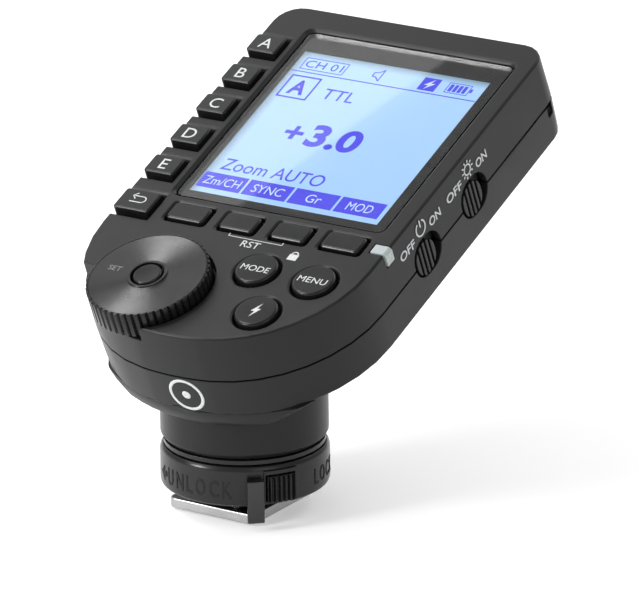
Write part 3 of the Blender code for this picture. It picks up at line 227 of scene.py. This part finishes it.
def make_lens():
    look = Look("assist_lens_red", (0.20, 0.006, 0.010), 0.08, Coat_Weight=0.8)
    where = look.coords()
    wave = look.new("ShaderNodeTexWave", wave_type="BANDS", bands_direction="X")
    wave.inputs["Scale"].default_value = 420.0
    look.link(where, wave.inputs["Vector"])
    look.vary_color(wave.outputs["Fac"], 0.7, 1.25)
    look.bump(wave.outputs["Fac"], 0.05 * MM, 0.7)
    return look.mat


def make_glass():
    look = Look("window_glass", (1.0, 1.0, 1.0), 0.0, IOR=1.24, Transmission_Weight=1.0)
    smear = look.noise(look.coords(), 70.0, 5.0)
    look.link(look.remap(smear, 0.0, 0.004), look.shader.inputs["Roughness"])
    return look.mat


def make_mask():
    """Black print behind glass: matt and even, with only a slow change of density."""
    look = Look("mask_print", (0.003, 0.003, 0.0032), 0.5, Specular_IOR_Level=0.2)
    look.vary_color(look.noise(look.coords(), 140.0, 3.0), 0.85, 1.15)
    look.vary_rough(look.noise(look.coords(), 300.0, 3.0), 0.06)
    return look.mat


def make_lcd():
    """The lit display: pale blue over a fine dot grid, with a painted shadow of its frame along its left and
    far edges.
    """
    look = Look("lcd_backlit", (0.03, 0.05, 0.08), 0.06, IOR=1.55)
    where = look.coords(HEAD_BACK)
    split = look.new("ShaderNodeSeparateXYZ")
    look.link(where, split.inputs["Vector"])
    ramp = look.new("ShaderNodeValToRGB")
    ramp.color_ramp.elements[0].color = (0.36, 0.61, 0.95, 1.0)
    ramp.color_ramp.elements[1].color = (0.40, 0.65, 0.96, 1.0)
    look.link(look.remap(split.outputs["Y"], 0.0, 1.0, -0.022, 0.022), ramp.inputs["Fac"])
    # Painted shadow: the glow turns dim grey-blue in bands along the left and far edges, where the frame's
    # shadow falls.
    painted_frame_shadow = look.new("ShaderNodeMix", data_type="RGBA")
    painted_frame_shadow.inputs["A"].default_value = (0.13, 0.20, 0.24, 1.0)
    inner = look.new("ShaderNodeMath", operation="MULTIPLY")
    shade_left = (LCD_LEFT * MM, (LCD_LEFT + LCD_SHADE_LEFT) * MM)
    shade_far = ((LCD_FAR - LCD_SHADE_FAR) * MM, LCD_FAR * MM)
    look.link(look.remap(split.outputs["X"], 0.0, 1.0, *shade_left), inner.inputs[0])
    look.link(look.remap(split.outputs["Y"], 1.0, 0.0, *shade_far), inner.inputs[1])
    look.link(inner.outputs["Value"], painted_frame_shadow.inputs["Factor"])
    look.link(ramp.outputs["Color"], painted_frame_shadow.inputs["B"])
    look.link(painted_frame_shadow.outputs["Result"], look.shader.inputs["Emission Color"])
    look.set("Emission Strength", 0.95)
    grid = look.new("ShaderNodeTexBrick")
    grid.offset = 0.0
    grid.inputs["Scale"].default_value = 3000.0
    grid.inputs["Mortar Size"].default_value = 0.06
    grid.inputs["Brick Width"].default_value = 1.0
    grid.inputs["Row Height"].default_value = 1.0
    look.link(where, grid.inputs["Vector"])
    look.bump(grid.outputs["Fac"], 0.0005 * MM, 0.1)
    look.vary_rough(look.noise(where, 300.0), 0.015)
    return look.mat


def make_segment(name, color, strength):
    look = Look(name, tuple(c * 0.15 for c in color), 0.4, Specular_IOR_Level=0.1)
    speck = look.noise(look.coords(HEAD_BACK), 1500.0, 2.0)
    look.vary_color(speck, 0.9, 1.1)
    ramp = look.new("ShaderNodeValToRGB")
    ramp.color_ramp.elements[0].color = (*[c * 0.95 for c in color], 1.0)
    ramp.color_ramp.elements[1].color = (*[min(1.0, c * 1.04) for c in color], 1.0)
    look.link(speck, ramp.inputs["Fac"])
    look.link(ramp.outputs["Color"], look.shader.inputs["Emission Color"])
    look.set("Emission Strength", strength)
    return look.mat


board = make_board()
cell = make_cell()
lens = make_lens()
glass = make_glass()
lcd = make_lcd()
segment = make_segment("lcd_segment_blue", (0.072, 0.068, 0.80), 0.92)
pale = make_segment("lcd_pale_words", (0.55, 0.74, 0.97), 0.9)
mask_mat = make_mask()


def make_disc():
    """The dial's face: turned plastic, with grooves round the axis that catch light along a radius."""
    look = Look("dial_turned_face", (0.0085, 0.0086, 0.0089), 0.24, Specular_IOR_Level=0.34)
    slow = look.noise(look.coords(), 260.0, 3.0)
    look.vary_color(slow, 0.9, 1.1)
    look.vary_rough(slow, 0.04)
    return look.mat


disc_mat = make_disc()

LOOKS = {
    "upper_housing": housing,
    "lower_housing": housing,
    "battery_door": housing,
    "shoe_base": ring_mat,
    "lock_ring": ring_mat,
    "lock_lever": gloss,
    "display_window": glass,
    "lcd_panel": lcd,
    "lcd_frame": white,
    "status_light_pipe": pipe_mat,
    "main_board": board,
    "key_membrane": silicone,
    "focus_assist_lens": lens,
    "contact_insulator": gloss,
    "shoe_foot": plate,
    "sync_jack": gloss,
    "power_switch_body": dark,
    "assist_switch_body": dark,
    "battery_cell_1": cell,
    "battery_cell_2": cell,
}
KEYS = ["key_a", "key_b", "key_c", "key_d", "key_e", "key_return", "soft_key_1", "soft_key_2", "soft_key_3"]
KEYS += ["soft_key_4", "mode_key", "menu_key", "test_key", "set_button", "select_dial"]
KEYS += ["power_switch_knob", "assist_switch_knob", "ring_release_button"]
BEVELS = {name: 0.12 for name in KEYS + ["lock_ring", "shoe_foot", "battery_door"]}
BEVELS.update({name: 0.1 for name in ("power_switch_knob", "assist_switch_knob", "ring_release_button")})
BEVELS.update({"upper_housing": 0.16, "lower_housing": 0.16, "lock_lever": 0.25, "status_light_pipe": 0.1})
FASTENER_BEVEL = 0.06
INNER = {"main_board", "key_membrane", "lcd_panel", "lcd_frame", "rotary_encoder", "encoder_shaft"}
INNER.add("display_window")
FLAT_ANGLE, BEVEL_ANGLE, SPLIT_ANGLE = 0.6, 34, 46

for name, obj in nodes.items():
    if name in LOOKS:
        look = LOOKS[name]
    elif name in KEYS:
        look = keys_mat
    elif name.startswith("contact_"):
        look = gold
    else:
        look = steel
    obj.data.materials.clear()
    obj.data.materials.append(look)
    if obj.data.has_custom_normals:
        obj.data.attributes.remove(obj.data.attributes["custom_normal"])
    obj.data.shade_smooth()
    weld = obj.modifiers.new("weld", "WELD")
    weld.merge_threshold = 1e-6
    flat = obj.modifiers.new("planar", "DECIMATE")
    flat.decimate_type = "DISSOLVE"
    flat.angle_limit = math.radians(FLAT_ANGLE)
    width = BEVELS.get(name, 0.0 if name in INNER else FASTENER_BEVEL)
    if width:
        edge = obj.modifiers.new("edge", "BEVEL")
        edge.width = width * MM
        edge.segments = 2
        edge.limit_method = "ANGLE"
        edge.angle_limit = math.radians(BEVEL_ANGLE)
        edge.use_clamp_overlap = False
        edge.harden_normals = False
    split = obj.modifiers.new("split", "EDGE_SPLIT")
    split.split_angle = math.radians(SPLIT_ANGLE)
    smooth = obj.modifiers.new("weighted", "WEIGHTED_NORMAL")
    smooth.keep_sharp = True
    smooth.weight = 60


# ------------------------------------------------------------------ helpers for added pieces


def finish_mesh(name, mesh, look, body):
    """Links a mesh that is already in the row's frame and rides it on a body."""
    mesh.name = name
    mesh.materials.clear()
    mesh.materials.append(look)
    obj = bpy.data.objects.new(name, mesh)
    bpy.context.scene.collection.objects.link(obj)
    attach(obj, body)
    return obj


def from_bmesh(name, work, look, body, matrix=None, smooth=True):
    mesh = bpy.data.meshes.new(name)
    bmesh.ops.recalc_face_normals(work, faces=work.faces)
    work.to_mesh(mesh)
    work.free()
    if matrix is not None:
        mesh.transform(matrix)
    if smooth:
        mesh.shade_smooth()
        mesh.set_sharp_from_angle(angle=math.radians(38))
    return finish_mesh(name, mesh, look, body)


def curve_mesh(data):
    obj = bpy.data.objects.new("temporary", data)
    bpy.context.scene.collection.objects.link(obj)
    bpy.context.view_layer.update()
    depsgraph = bpy.context.evaluated_depsgraph_get()
    mesh = bpy.data.meshes.new_from_object(obj.evaluated_get(depsgraph), depsgraph=depsgraph)
    bpy.data.objects.remove(obj)
    return mesh


def span(mesh, k):
    values = [v.co[k] for v in mesh.vertices]
    return min(values), max(values)


HALF_EXTRUDE = 0.05


def words(text, box, thick=0.03, bold=0.0, keep=False):
    """Lettering as a thin solid that fills box = (x0, x1, y0, y1), its base at z = 0.

    With keep, it stays in proportion and fits inside the box.
    """
    data = bpy.data.curves.new("lettering", "FONT")
    data.body = text
    data.size = 1.0
    data.offset = bold
    data.extrude = HALF_EXTRUDE
    data.resolution_u = 5
    mesh = curve_mesh(data)
    x0, x1 = span(mesh, 0)
    y0, y1 = span(mesh, 1)
    sx = (box[1] - box[0]) / (x1 - x0)
    sy = (box[3] - box[2]) / (y1 - y0)
    if keep:
        sx = sy = min(sx, sy)
    cx, cy = (box[0] + box[1]) / 2, (box[2] + box[3]) / 2
    for v in mesh.vertices:
        x = (v.co.x - (x0 + x1) / 2) * sx + cx
        y = (v.co.y - (y0 + y1) / 2) * sy + cy
        v.co = (x * MM, y * MM, (v.co.z + HALF_EXTRUDE) / (2 * HALF_EXTRUDE) * thick * MM)
    return mesh


def strokes(paths, width, thick=0.03):
    """Lines of one width, each (points, closed), as flattened round bars with their base at z = 0."""
    data = bpy.data.curves.new("strokes", "CURVE")
    data.dimensions = "3D"
    data.bevel_depth = width / 2
    data.bevel_resolution = 2
    data.use_fill_caps = True
    for points, closed in paths:
        spline = data.splines.new("POLY")
        spline.points.add(len(points) - 1)
        for target, (x, y) in zip(spline.points, points):
            target.co = (x, y, 0.0, 1.0)
        spline.use_cyclic_u = closed
    mesh = curve_mesh(data)
    for v in mesh.vertices:
        v.co = (v.co.x * MM, v.co.y * MM, (v.co.z / width + 0.5) * thick * MM)
    mesh.shade_smooth()
    return mesh


def slab(shapes, thick=0.03):
    """Flat shapes, each a list of (x, y), as thin solids."""
    work = bmesh.new()
    for points in shapes:
        low = [work.verts.new((x * MM, y * MM, 0.0)) for x, y in points]
        high = [work.verts.new((x * MM, y * MM, thick * MM)) for x, y in points]
        work.faces.new(low[::-1])
        work.faces.new(high)
        for i in range(len(points)):
            j = (i + 1) % len(points)
            work.faces.new((low[i], low[j], high[j], high[i]))
    bmesh.ops.recalc_face_normals(work, faces=work.faces)
    mesh = bpy.data.meshes.new("slab")
    work.to_mesh(mesh)
    work.free()
    return mesh


def arc(cx, cy, r, start=0.0, end=360.0, steps=28):
    """Points on an arc, with its angles in degrees. A full turn leaves out the last point."""
    full = abs(end - start) >= 360.0
    count = steps if full else steps + 1
    angles = [math.radians(start + (end - start) * i / steps) for i in range(count)]
    return [(cx + r * math.cos(t), cy + r * math.sin(t)) for t in angles]


def bar(x0, x1, y0, y1):
    """The corners of a rectangle."""
    return [(x0, y0), (x1, y0), (x1, y1), (x0, y1)]


def join(*meshes):
    work = bmesh.new()
    for mesh in meshes:
        work.from_mesh(mesh)
    out = bpy.data.meshes.new("joined")
    work.to_mesh(out)
    work.free()
    return out


def on_face(w):
    """The plane of the display face, at height w."""
    return HEAD @ Matrix.Translation((0.0, 0.0, w * MM))


def on_right(x):
    """The right side wall: first axis up the display, second out of its face."""
    turn = Matrix(((0, 0, 1, x * MM), (1, 0, 0, 0), (0, 1, 0, 0), (0, 0, 0, 1)))
    return HEAD @ turn


def label(name, mesh, matrix, body=BODY, look=None):
    mesh.transform(matrix)
    return finish_mesh(name, mesh, look or ink, body)


# ------------------------------------------------------------------ display: black mask and graphics

cx, lcd_w, lcd_h = SCREEN
left, right = cx - lcd_w / 2, cx + lcd_w / 2
top = lcd_h / 2
LCD_TOP = -1.7
WINDOW = (-20.15, 25.25, -24.05, 25.95)
MASK_INSET = 0.3
MASK_HEIGHTS = (-1.62, -1.5)


def build_mask():
    """The black print round the visible area, on the underside of the window."""
    x0, x1, y0, y1 = WINDOW
    outline = bar(x0 + MASK_INSET, x1 - MASK_INSET, y0 + MASK_INSET, y1 - MASK_INSET)
    opening = bar(left, right, -top, top)
    work = bmesh.new()
    rings = []
    for z in MASK_HEIGHTS:
        outer = [work.verts.new((x * MM, y * MM, z * MM)) for x, y in outline]
        inner = [work.verts.new((x * MM, y * MM, z * MM)) for x, y in opening]
        rings.append((outer, inner))
    for i in range(4):
        j = (i + 1) % 4
        for outer, inner in rings:
            work.faces.new((outer[i], outer[j], inner[j], inner[i]))
        for k in (0, 1):
            low, high = rings[0][k], rings[1][k]
            work.faces.new((low[i], low[j], high[j], high[i]))
    from_bmesh("window_mask", work, mask_mat, BODY, HEAD, False)


build_mask()


# The display's graphics are laid out about their own middle
GRAPHICS = Matrix.Translation((-1.2 * MM, 1.4 * MM, 0.0))
LIFT_ON_BLOCK = 0.055


def lcd_piece(name, mesh, look=None, lift=0.02):
    at = on_face(LCD_TOP + lift) @ GRAPHICS
    return label("lcd_" + name, mesh, at, look=look or segment)


def box_of(x0, x1, y0, y1, width=0.28):
    return strokes([(bar(x0, x1, y0, y1), True)], width)


lcd_piece("channel", join(words("CH 01", (-15.1, -7.1, 15.5, 17.5)), box_of(-15.7, -6.5, 14.9, 18.1)))
SPEAKER = [(-0.4, 16.05), (0.35, 16.05), (1.35, 15.0), (1.35, 18.3), (0.35, 17.25), (-0.4, 17.25)]
sides = zip(SPEAKER, SPEAKER[1:] + SPEAKER[:1])
lcd_piece("speaker", strokes([(list(side), False) for side in sides], 0.26))
lcd_piece("radio_block", slab([bar(10.0, 13.6, 14.7, 18.3)]))
BOLT = [(12.5, 18.0), (10.8, 16.2), (11.7, 16.2), (11.2, 15.0), (12.9, 16.8), (12.0, 16.8)]
lcd_piece("radio_block_bolt", slab([BOLT], 0.02), pale, LIFT_ON_BLOCK)
battery_outline = join(box_of(15.6, 20.3, 15.2, 18.0, 0.26), slab([bar(20.45, 20.95, 16.1, 17.1)]))
charge_x = [16.05 + i * 0.98 for i in range(4)]
lcd_piece("battery", join(battery_outline, slab([bar(x, x + 0.7, 15.6, 17.6) for x in charge_x])))
shift_x = GRAPHICS.translation.x / MM
lcd_piece("rule", slab([bar(left + 0.3 - shift_x, right - 0.3 - shift_x, 13.95, 14.17)]))
group_letter = words("A", (-14.5, -11.0, 7.6, 11.7), bold=0.03)
lcd_piece("group_letter", join(group_letter, box_of(-15.8, -9.6, 6.6, 12.8, 0.55)))
lcd_piece("mode_words", words("TTL", (-7.0, -0.2, 7.8, 10.7)))
plus = [([(-8.3, -2.5), (-4.4, -2.5)], False), ([(-6.35, -4.4), (-6.35, -0.6)], False)]
lcd_piece("value_sign", strokes(plus, 0.95))
lcd_piece("value", words("3.0", (-3.2, 7.9, -5.5, 0.8), bold=0.035))
lcd_piece("zoom_words", words("Zoom AUTO", (-15.0, 6.9, -15.5, -12.3)))
MENU = (("Zm/CH", -16.9, -7.5, 3.9), ("SYNC", -7.0, 2.4, 3.3))
MENU += (("Gr", 2.9, 12.3, 1.6), ("MOD", 12.8, 22.2, 2.7))
for i, (text, x0, x1, half) in enumerate(MENU, 1):
    lcd_piece(f"menu_cell_{i}", slab([bar(x0, x1, -20.9, -16.7)]))
    middle = (x0 + x1) / 2
    mesh = words(text, (middle - half, middle + half, -19.9, -17.7), 0.02)
    lcd_piece(f"menu_words_{i}", mesh, pale, LIFT_ON_BLOCK)


# ------------------------------------------------------------------ labels on keys and housing

KEY_PITCH = 9.206
SIDE_KEY_TOP, ROUND_KEY_TOP, PANEL_TOP = 0.845, 0.695, -0.005
for i, letter in enumerate("ABCDE"):
    v = 19.05 - i * KEY_PITCH
    mesh = words(letter, (-26.7, -23.9, v - 1.35, v + 1.35), keep=True)
    label(f"key_letter_{letter.lower()}", mesh, on_face(SIDE_KEY_TOP), "key_" + letter.lower())
ARROW_X, ARROW_V = -24.9, -28.1
arrow = [([(ARROW_X - 1.2, ARROW_V - 0.8), (ARROW_X + 1.1, ARROW_V - 0.8)], False)]
arrow += [(arc(ARROW_X + 1.1, ARROW_V, 0.8, -90, 90, 10), False)]
arrow += [([(ARROW_X + 1.1, ARROW_V + 0.8), (ARROW_X - 0.9, ARROW_V + 0.8)], False)]
arrow += [([(ARROW_X - 0.4, ARROW_V + 1.6), (ARROW_X - 1.2, ARROW_V + 0.8), (ARROW_X - 0.4, ARROW_V)], False)]
label("key_return_arrow", strokes(arrow, 0.24), on_face(SIDE_KEY_TOP), "key_return")

label("mode_words", words("MODE", (4.95, 10.8, -40.35, -38.9)), on_face(ROUND_KEY_TOP), "mode_key")
label("menu_words", words("MENU", (17.15, 23.05, -40.55, -39.1)), on_face(ROUND_KEY_TOP), "menu_key")
flash = [(14.6, -47.85), (13.3, -50.15), (14.05, -50.15), (13.7, -51.75), (15.0, -49.35), (14.25, -49.35)]
label("test_bolt", slab([flash]), on_face(ROUND_KEY_TOP), "test_key")

bracket = strokes([([(-2.7, -31.35), (-2.7, -32.0), (8.7, -32.0), (8.7, -31.35)], False)], 0.22)
label("reset_bracket", bracket, on_face(PANEL_TOP))
label("reset_words", words("RST", (0.9, 4.7, -34.15, -32.5)), on_face(PANEL_TOP))
shackle = strokes([(arc(12.5, -33.6, 0.6, 0, 180, 10), False)], 0.28)
label("padlock_mark", join(slab([bar(11.55, 13.45, -35.2, -33.65)]), shackle), on_face(PANEL_TOP))

SIDE = 28.86
WORDS_W = (-5.1, -3.3)
SIDE_WORDS = {"power": ((-25.5, -20.6), (-15.1, -11.3)), "assist": ((-8.7, -3.5), (2.0, 5.7))}
for prefix, (off_v, on_v) in SIDE_WORDS.items():
    label(prefix + "_off_words", words("OFF", (*off_v, *WORDS_W), 0.16, bold=0.008), on_right(SIDE))
    label(prefix + "_on_words", words("ON", (*on_v, *WORDS_W), 0.16, bold=0.008), on_right(SIDE))
POWER_V, LAMP_V, MARK_W = -17.85, -0.75, -3.1
power = [(arc(POWER_V, MARK_W, 1.5, 120, 420, 24), False)]
power += [([(POWER_V, MARK_W + 0.2), (POWER_V, MARK_W + 1.75)], False)]
label("power_mark", strokes(power, 0.36, 0.16), on_right(SIDE))
lamp = [(arc(LAMP_V, MARK_W, 1.02), True)]
for k in range(10):
    t = math.pi * k / 5
    lamp.append(([(LAMP_V + r * math.cos(t), MARK_W + r * math.sin(t)) for r in (1.35, 1.85)], False))
label("assist_mark", strokes(lamp, 0.34, 0.16), on_right(SIDE))

# A plain ring and dot on the near end
NEAR_V, NEAR_R = -59.5, 52.0
MARK_X, MARK_MID = 1.3, -13.8
SWELL, SWELL_TOP, SWELL_HEIGHT = 0.25, -9.75, 7.25
MARK_SINK = 0.12


def bend_near(mesh, w_middle):
    """Wraps a flat mark round the near end of the lower housing, whose wall leans in downwards."""
    radius = NEAR_R + SWELL
    for v in mesh.vertices:
        x, up, out = v.co.x / MM, v.co.y / MM, v.co.z / MM
        turn = x / radius
        w = w_middle + up
        r = radius + out - MARK_SINK
        r -= SWELL * (SWELL_TOP - w) / SWELL_HEIGHT
        v.co = (r * math.sin(turn) * MM, (NEAR_V + NEAR_R - r * math.cos(turn)) * MM, w * MM)
    mesh.transform(HEAD)
    return mesh


ring_mark = strokes([(arc(MARK_X, 0.0, 3.3, 0, 360, 48), True)], 0.66, 0.22)
dot_mark = strokes([(arc(MARK_X, 0.0, 0.45, 0, 360, 20), True)], 0.9, 0.22)
finish_mesh("front_ring_mark", bend_near(join(ring_mark, dot_mark), MARK_MID), ink, BODY)


# ------------------------------------------------------------------ engraved words round the lock ring


def wrap_ring(mesh, angle, z_mid):
    """Bends a flat word on to the ring: angle in degrees from the rear towards the right."""
    for v in mesh.vertices:
        turn = math.radians(angle - 90.0) + v.co.x / MM / RING_R
        r = (RING_R - 0.05) * MM + v.co.z
        v.co = (r * math.cos(turn), r * math.sin(turn), z_mid * MM + v.co.y)
    return mesh


def letter_on_ring(text, start, end, z0=5.4, z1=8.6):
    """One letter from a start angle to an end angle, between two heights on the ring."""
    half = math.radians(end - start) / 2 * RING_R
    mesh = words(text, (-half, half, (z0 - z1) / 2, (z1 - z0) / 2), 0.11, bold=0.012)
    return wrap_ring(mesh, (start + end) / 2, (z0 + z1) / 2)


# The letters are thin dark solids at the ring's surface, not cut into it. Their near-black is painted shade.
def engraved(name, mesh):
    finish_mesh(name, mesh, engrave, "lock_ring")


UNLOCK = (("U", -30, -23.5), ("N", -19.5, -12.5), ("L", -9.5, -4.5))
UNLOCK += (("O", -1.5, 6.0), ("C", 9, 15.8), ("K", 18.3, 25))
LOCK = (("L", 88, 92.5), ("O", 95, 102), ("C", 104.5, 111), ("K", 113.5, 120))
ARROW = [(-1.4, 0.0), (0.4, -1.5), (0.4, -0.5), (1.4, -0.5), (1.4, 0.5), (0.4, 0.5), (0.4, 1.5)]
engraved("unlock_words", join(*[letter_on_ring(*spot) for spot in UNLOCK]))
engraved("unlock_arrow", wrap_ring(slab([ARROW], 0.11), -37.5, 7.0))
engraved("lock_words", join(*[letter_on_ring(*spot, 5.6) for spot in LOCK]))


# ------------------------------------------------------------------ select dial, knurled, with a turned face


def revolve(work, profile, count, radius_of=None):
    """A closed profile of (radius, height) turned about z, in millimetres."""
    rings = []
    for k, (radius, height) in enumerate(profile):
        ring = []
        for i in range(count):
            turn = 2 * math.pi * i / count
            r = radius_of(radius, turn) if radius_of else radius
            ring.append(work.verts.new((r * math.cos(turn) * MM, r * math.sin(turn) * MM, height * MM)))
        rings.append(ring)
    for low, high in zip(rings, rings[1:] + rings[:1]):
        for i in range(count):
            j = (i + 1) % count
            work.faces.new((low[i], low[j], high[j], high[i]))


TEETH = 52
TOOTH_DEPTH, TOOTH_HALF_VALLEY = 0.45, 0.22
FACE_OUTER, FACE_INNER, FACE_TOP = 10.87, 3.75, 2.45
GROOVES, GROOVE_DEPTH = 90, 0.019


def knurl(radius, turn):
    """Rounded ridges with narrow valleys, only on the outer wall."""
    share = min(1.0, max(0.0, (radius - 11.0) / 0.2))
    phase = (turn * TEETH / (2 * math.pi)) % 1.0
    depth = TOOTH_DEPTH * max(0.0, 1.0 - abs(phase - 0.5) / TOOTH_HALF_VALLEY) ** 0.8
    return radius - share * depth


def build_dial():
    at = HEAD @ Matrix.Translation((DIAL[0] * MM, DIAL[1] * MM, 0.0))
    work = bmesh.new()
    profile = [(3.1, 0.35), (2.45, 0.3), (2.45, -3.85), (3.35, -3.85), (3.35, -2.55), (10.9, -2.55)]
    profile += [(11.3, -2.4), (11.4, -2.1), (11.4, 2.24), (11.34, 2.38), (11.22, 2.46), (11.1, 2.49)]
    profile += [(11.0, 2.5), (10.94, 2.4), (10.92, 2.1), (3.1, 2.1)]
    revolve(work, profile, TEETH * 12, knurl)
    rim = from_bmesh("dial_rim", work, keys_mat, "dial", at)
    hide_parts("select_dial")

    work = bmesh.new()
    face = []
    for i in range(GROOVES + 1):
        r = FACE_OUTER - (FACE_OUTER - FACE_INNER) * i / GROOVES
        face.append((r, FACE_TOP + (GROOVE_DEPTH if i % 2 else 0.0)))
    profile = [(3.12, 2.12), (10.89, 2.12), (10.89, 2.42)] + face
    profile += [(3.7, 2.6), (3.6, 2.68), (3.3, 2.68), (3.15, 2.6)]
    revolve(work, profile, 120)
    disc = from_bmesh("dial_face", work, disc_mat, "dial", at)
    disc.data.set_sharp_from_angle(angle=math.radians(10))

    set_words = words("SET", (-8.7, -5.2, -0.62, 0.62), 0.02, keep=True)
    print_at = at @ Matrix.Translation((0, 0, (FACE_TOP + 0.005) * MM))
    label("dial_words", set_words, print_at, "dial", dim_ink)


build_dial()


# ------------------------------------------------------------------ floor, light and camera

FLOOR_REACH, FLOOR_GAP = 3, 0.0001
corners = [(x, y, 0) for x, y in bar(-FLOOR_REACH, FLOOR_REACH, -FLOOR_REACH, FLOOR_REACH)]
floor_mesh = bpy.data.meshes.new("floor")
floor_mesh.from_pydata(corners, [], [(0, 1, 2, 3)])
floor_look = Look("pale_floor", (0.86, 0.86, 0.86), 0.65)
floor_look.set("Emission Color", (1.0, 1.0, 1.0, 1.0))
floor_look.set("Emission Strength", 0.32)
shade = floor_look.noise(floor_look.coords(), 12.0, 3.0)
floor_look.vary_color(shade, 0.985, 1.01)
floor_mesh.materials.append(floor_look.mat)
floor = bpy.data.objects.new("floor", floor_mesh)
floor.location = (0.0, 0.0, cad_low.z - FLOOR_GAP)
bpy.context.scene.collection.objects.link(floor)

world = bpy.data.worlds.new("studio")
world.use_nodes = True
background = world.node_tree.nodes["Background"]
background.inputs["Color"].default_value = (1.0, 1.0, 1.0, 1.0)
background.inputs["Strength"].default_value = 0.55
bpy.context.scene.view_settings.view_transform = "Standard"
bpy.context.scene.world = world

MIDDLE = Vector((0.0, 0.0, 45.0 * MM))


def area_light(name, size, power):
    """A rectangular light: its size in metres, its power in watts."""
    data = bpy.data.lights.new(name, "AREA")
    data.shape = "RECTANGLE"
    data.size, data.size_y = size
    data.energy = power
    obj = bpy.data.objects.new(name, data)
    bpy.context.scene.collection.objects.link(obj)
    return obj


def softbox(name, direction, distance, size, power):
    """A light in a direction from the middle of the object, which it faces from that distance."""
    obj = area_light(name, size, power)
    obj.location = MIDDLE + Vector(direction).normalized() * distance
    turn = (MIDDLE - obj.location).to_track_quat("-Z", "Y").to_matrix().to_4x4()
    obj.matrix_world = Matrix.Translation(obj.location) @ turn


softbox("key_softbox", (-0.9, -0.75, 1.1), 0.55, (0.3, 0.3), 0.7)
softbox("edge_softbox", (-0.52, -0.79, 0.32), 0.5, (0.12, 0.12), 1.5)
softbox("fill_softbox", (1.0, -0.5, 0.5), 0.6, (0.3, 0.4), 0.5)
softbox("back_softbox", (0.3, 1.0, 0.9), 0.6, (0.5, 0.25), 0.9)
softbox("dial_softbox", (-0.52, -0.09, 0.85), 0.36, (0.1, 0.1), 0.5)

AZIMUTH, ELEVATION, ROLL = math.radians(33.46), math.radians(18.72), math.radians(-0.755)
SENSOR, LENS, DISTANCE = 36.0, 340.93125, 1.10218
CAMERA_AIM = Vector((0.0, 29.42 * MM, 62.0 * MM))
SHIFT_RIGHT, SHIFT_UP = -1.910858 * MM, -31.937034 * MM
level = math.cos(ELEVATION)
side = Vector((math.cos(AZIMUTH), math.sin(AZIMUTH), 0.0))
back = Vector((math.sin(AZIMUTH) * level, -math.cos(AZIMUTH) * level, math.sin(ELEVATION)))
above = back.cross(side)
right_axis = math.cos(ROLL) * side + math.sin(ROLL) * above
up_axis = -math.sin(ROLL) * side + math.cos(ROLL) * above
spot = CAMERA_AIM + back * DISTANCE + right_axis * SHIFT_RIGHT + up_axis * SHIFT_UP
lens_data = bpy.data.cameras.new("camera")
lens_data.sensor_width = SENSOR
lens_data.lens = LENS
lens_data.clip_start = 0.05
lens_data.clip_end = 20.0
camera = bpy.data.objects.new("camera", lens_data)
bpy.context.scene.collection.objects.link(camera)
turn = Matrix((right_axis, up_axis, back)).transposed().to_4x4()
camera.matrix_world = Matrix.Translation(spot) @ turn
bpy.context.scene.camera = camera

WINDOW_LINE = ((10.5, 25.0), (-6.0, -22.5))
WINDOW_TOP = -0.6


def window_light(reach, wide, tall, power):
    """A softbox whose right edge is mirrored in the window as a slanting line, along WINDOW_LINE."""
    normal = (HEAD.to_3x3() @ Vector((0.0, 0.0, 1.0))).normalized()
    ends = []
    for x, v in WINDOW_LINE:
        point = HEAD @ Vector((x * MM, v * MM, WINDOW_TOP * MM))
        ray = (point - spot).normalized()
        ends.append(point + (ray - 2.0 * ray.dot(normal) * normal) * reach)
    along = (ends[0] - ends[1]).normalized()
    facing = (HEAD.to_translation() - (ends[0] + ends[1]) / 2).normalized()
    facing = (facing - facing.dot(along) * along).normalized()
    across = along.cross(-facing)
    centre = (ends[0] + ends[1]) / 2 - across * (wide / 2)
    obj = area_light("window_softbox", (wide, tall), power)
    turn = Matrix((across, along, -facing)).transposed().to_4x4()
    obj.matrix_world = Matrix.Translation(centre) @ turn


window_light(0.55, 0.3, 0.4, 0.56)
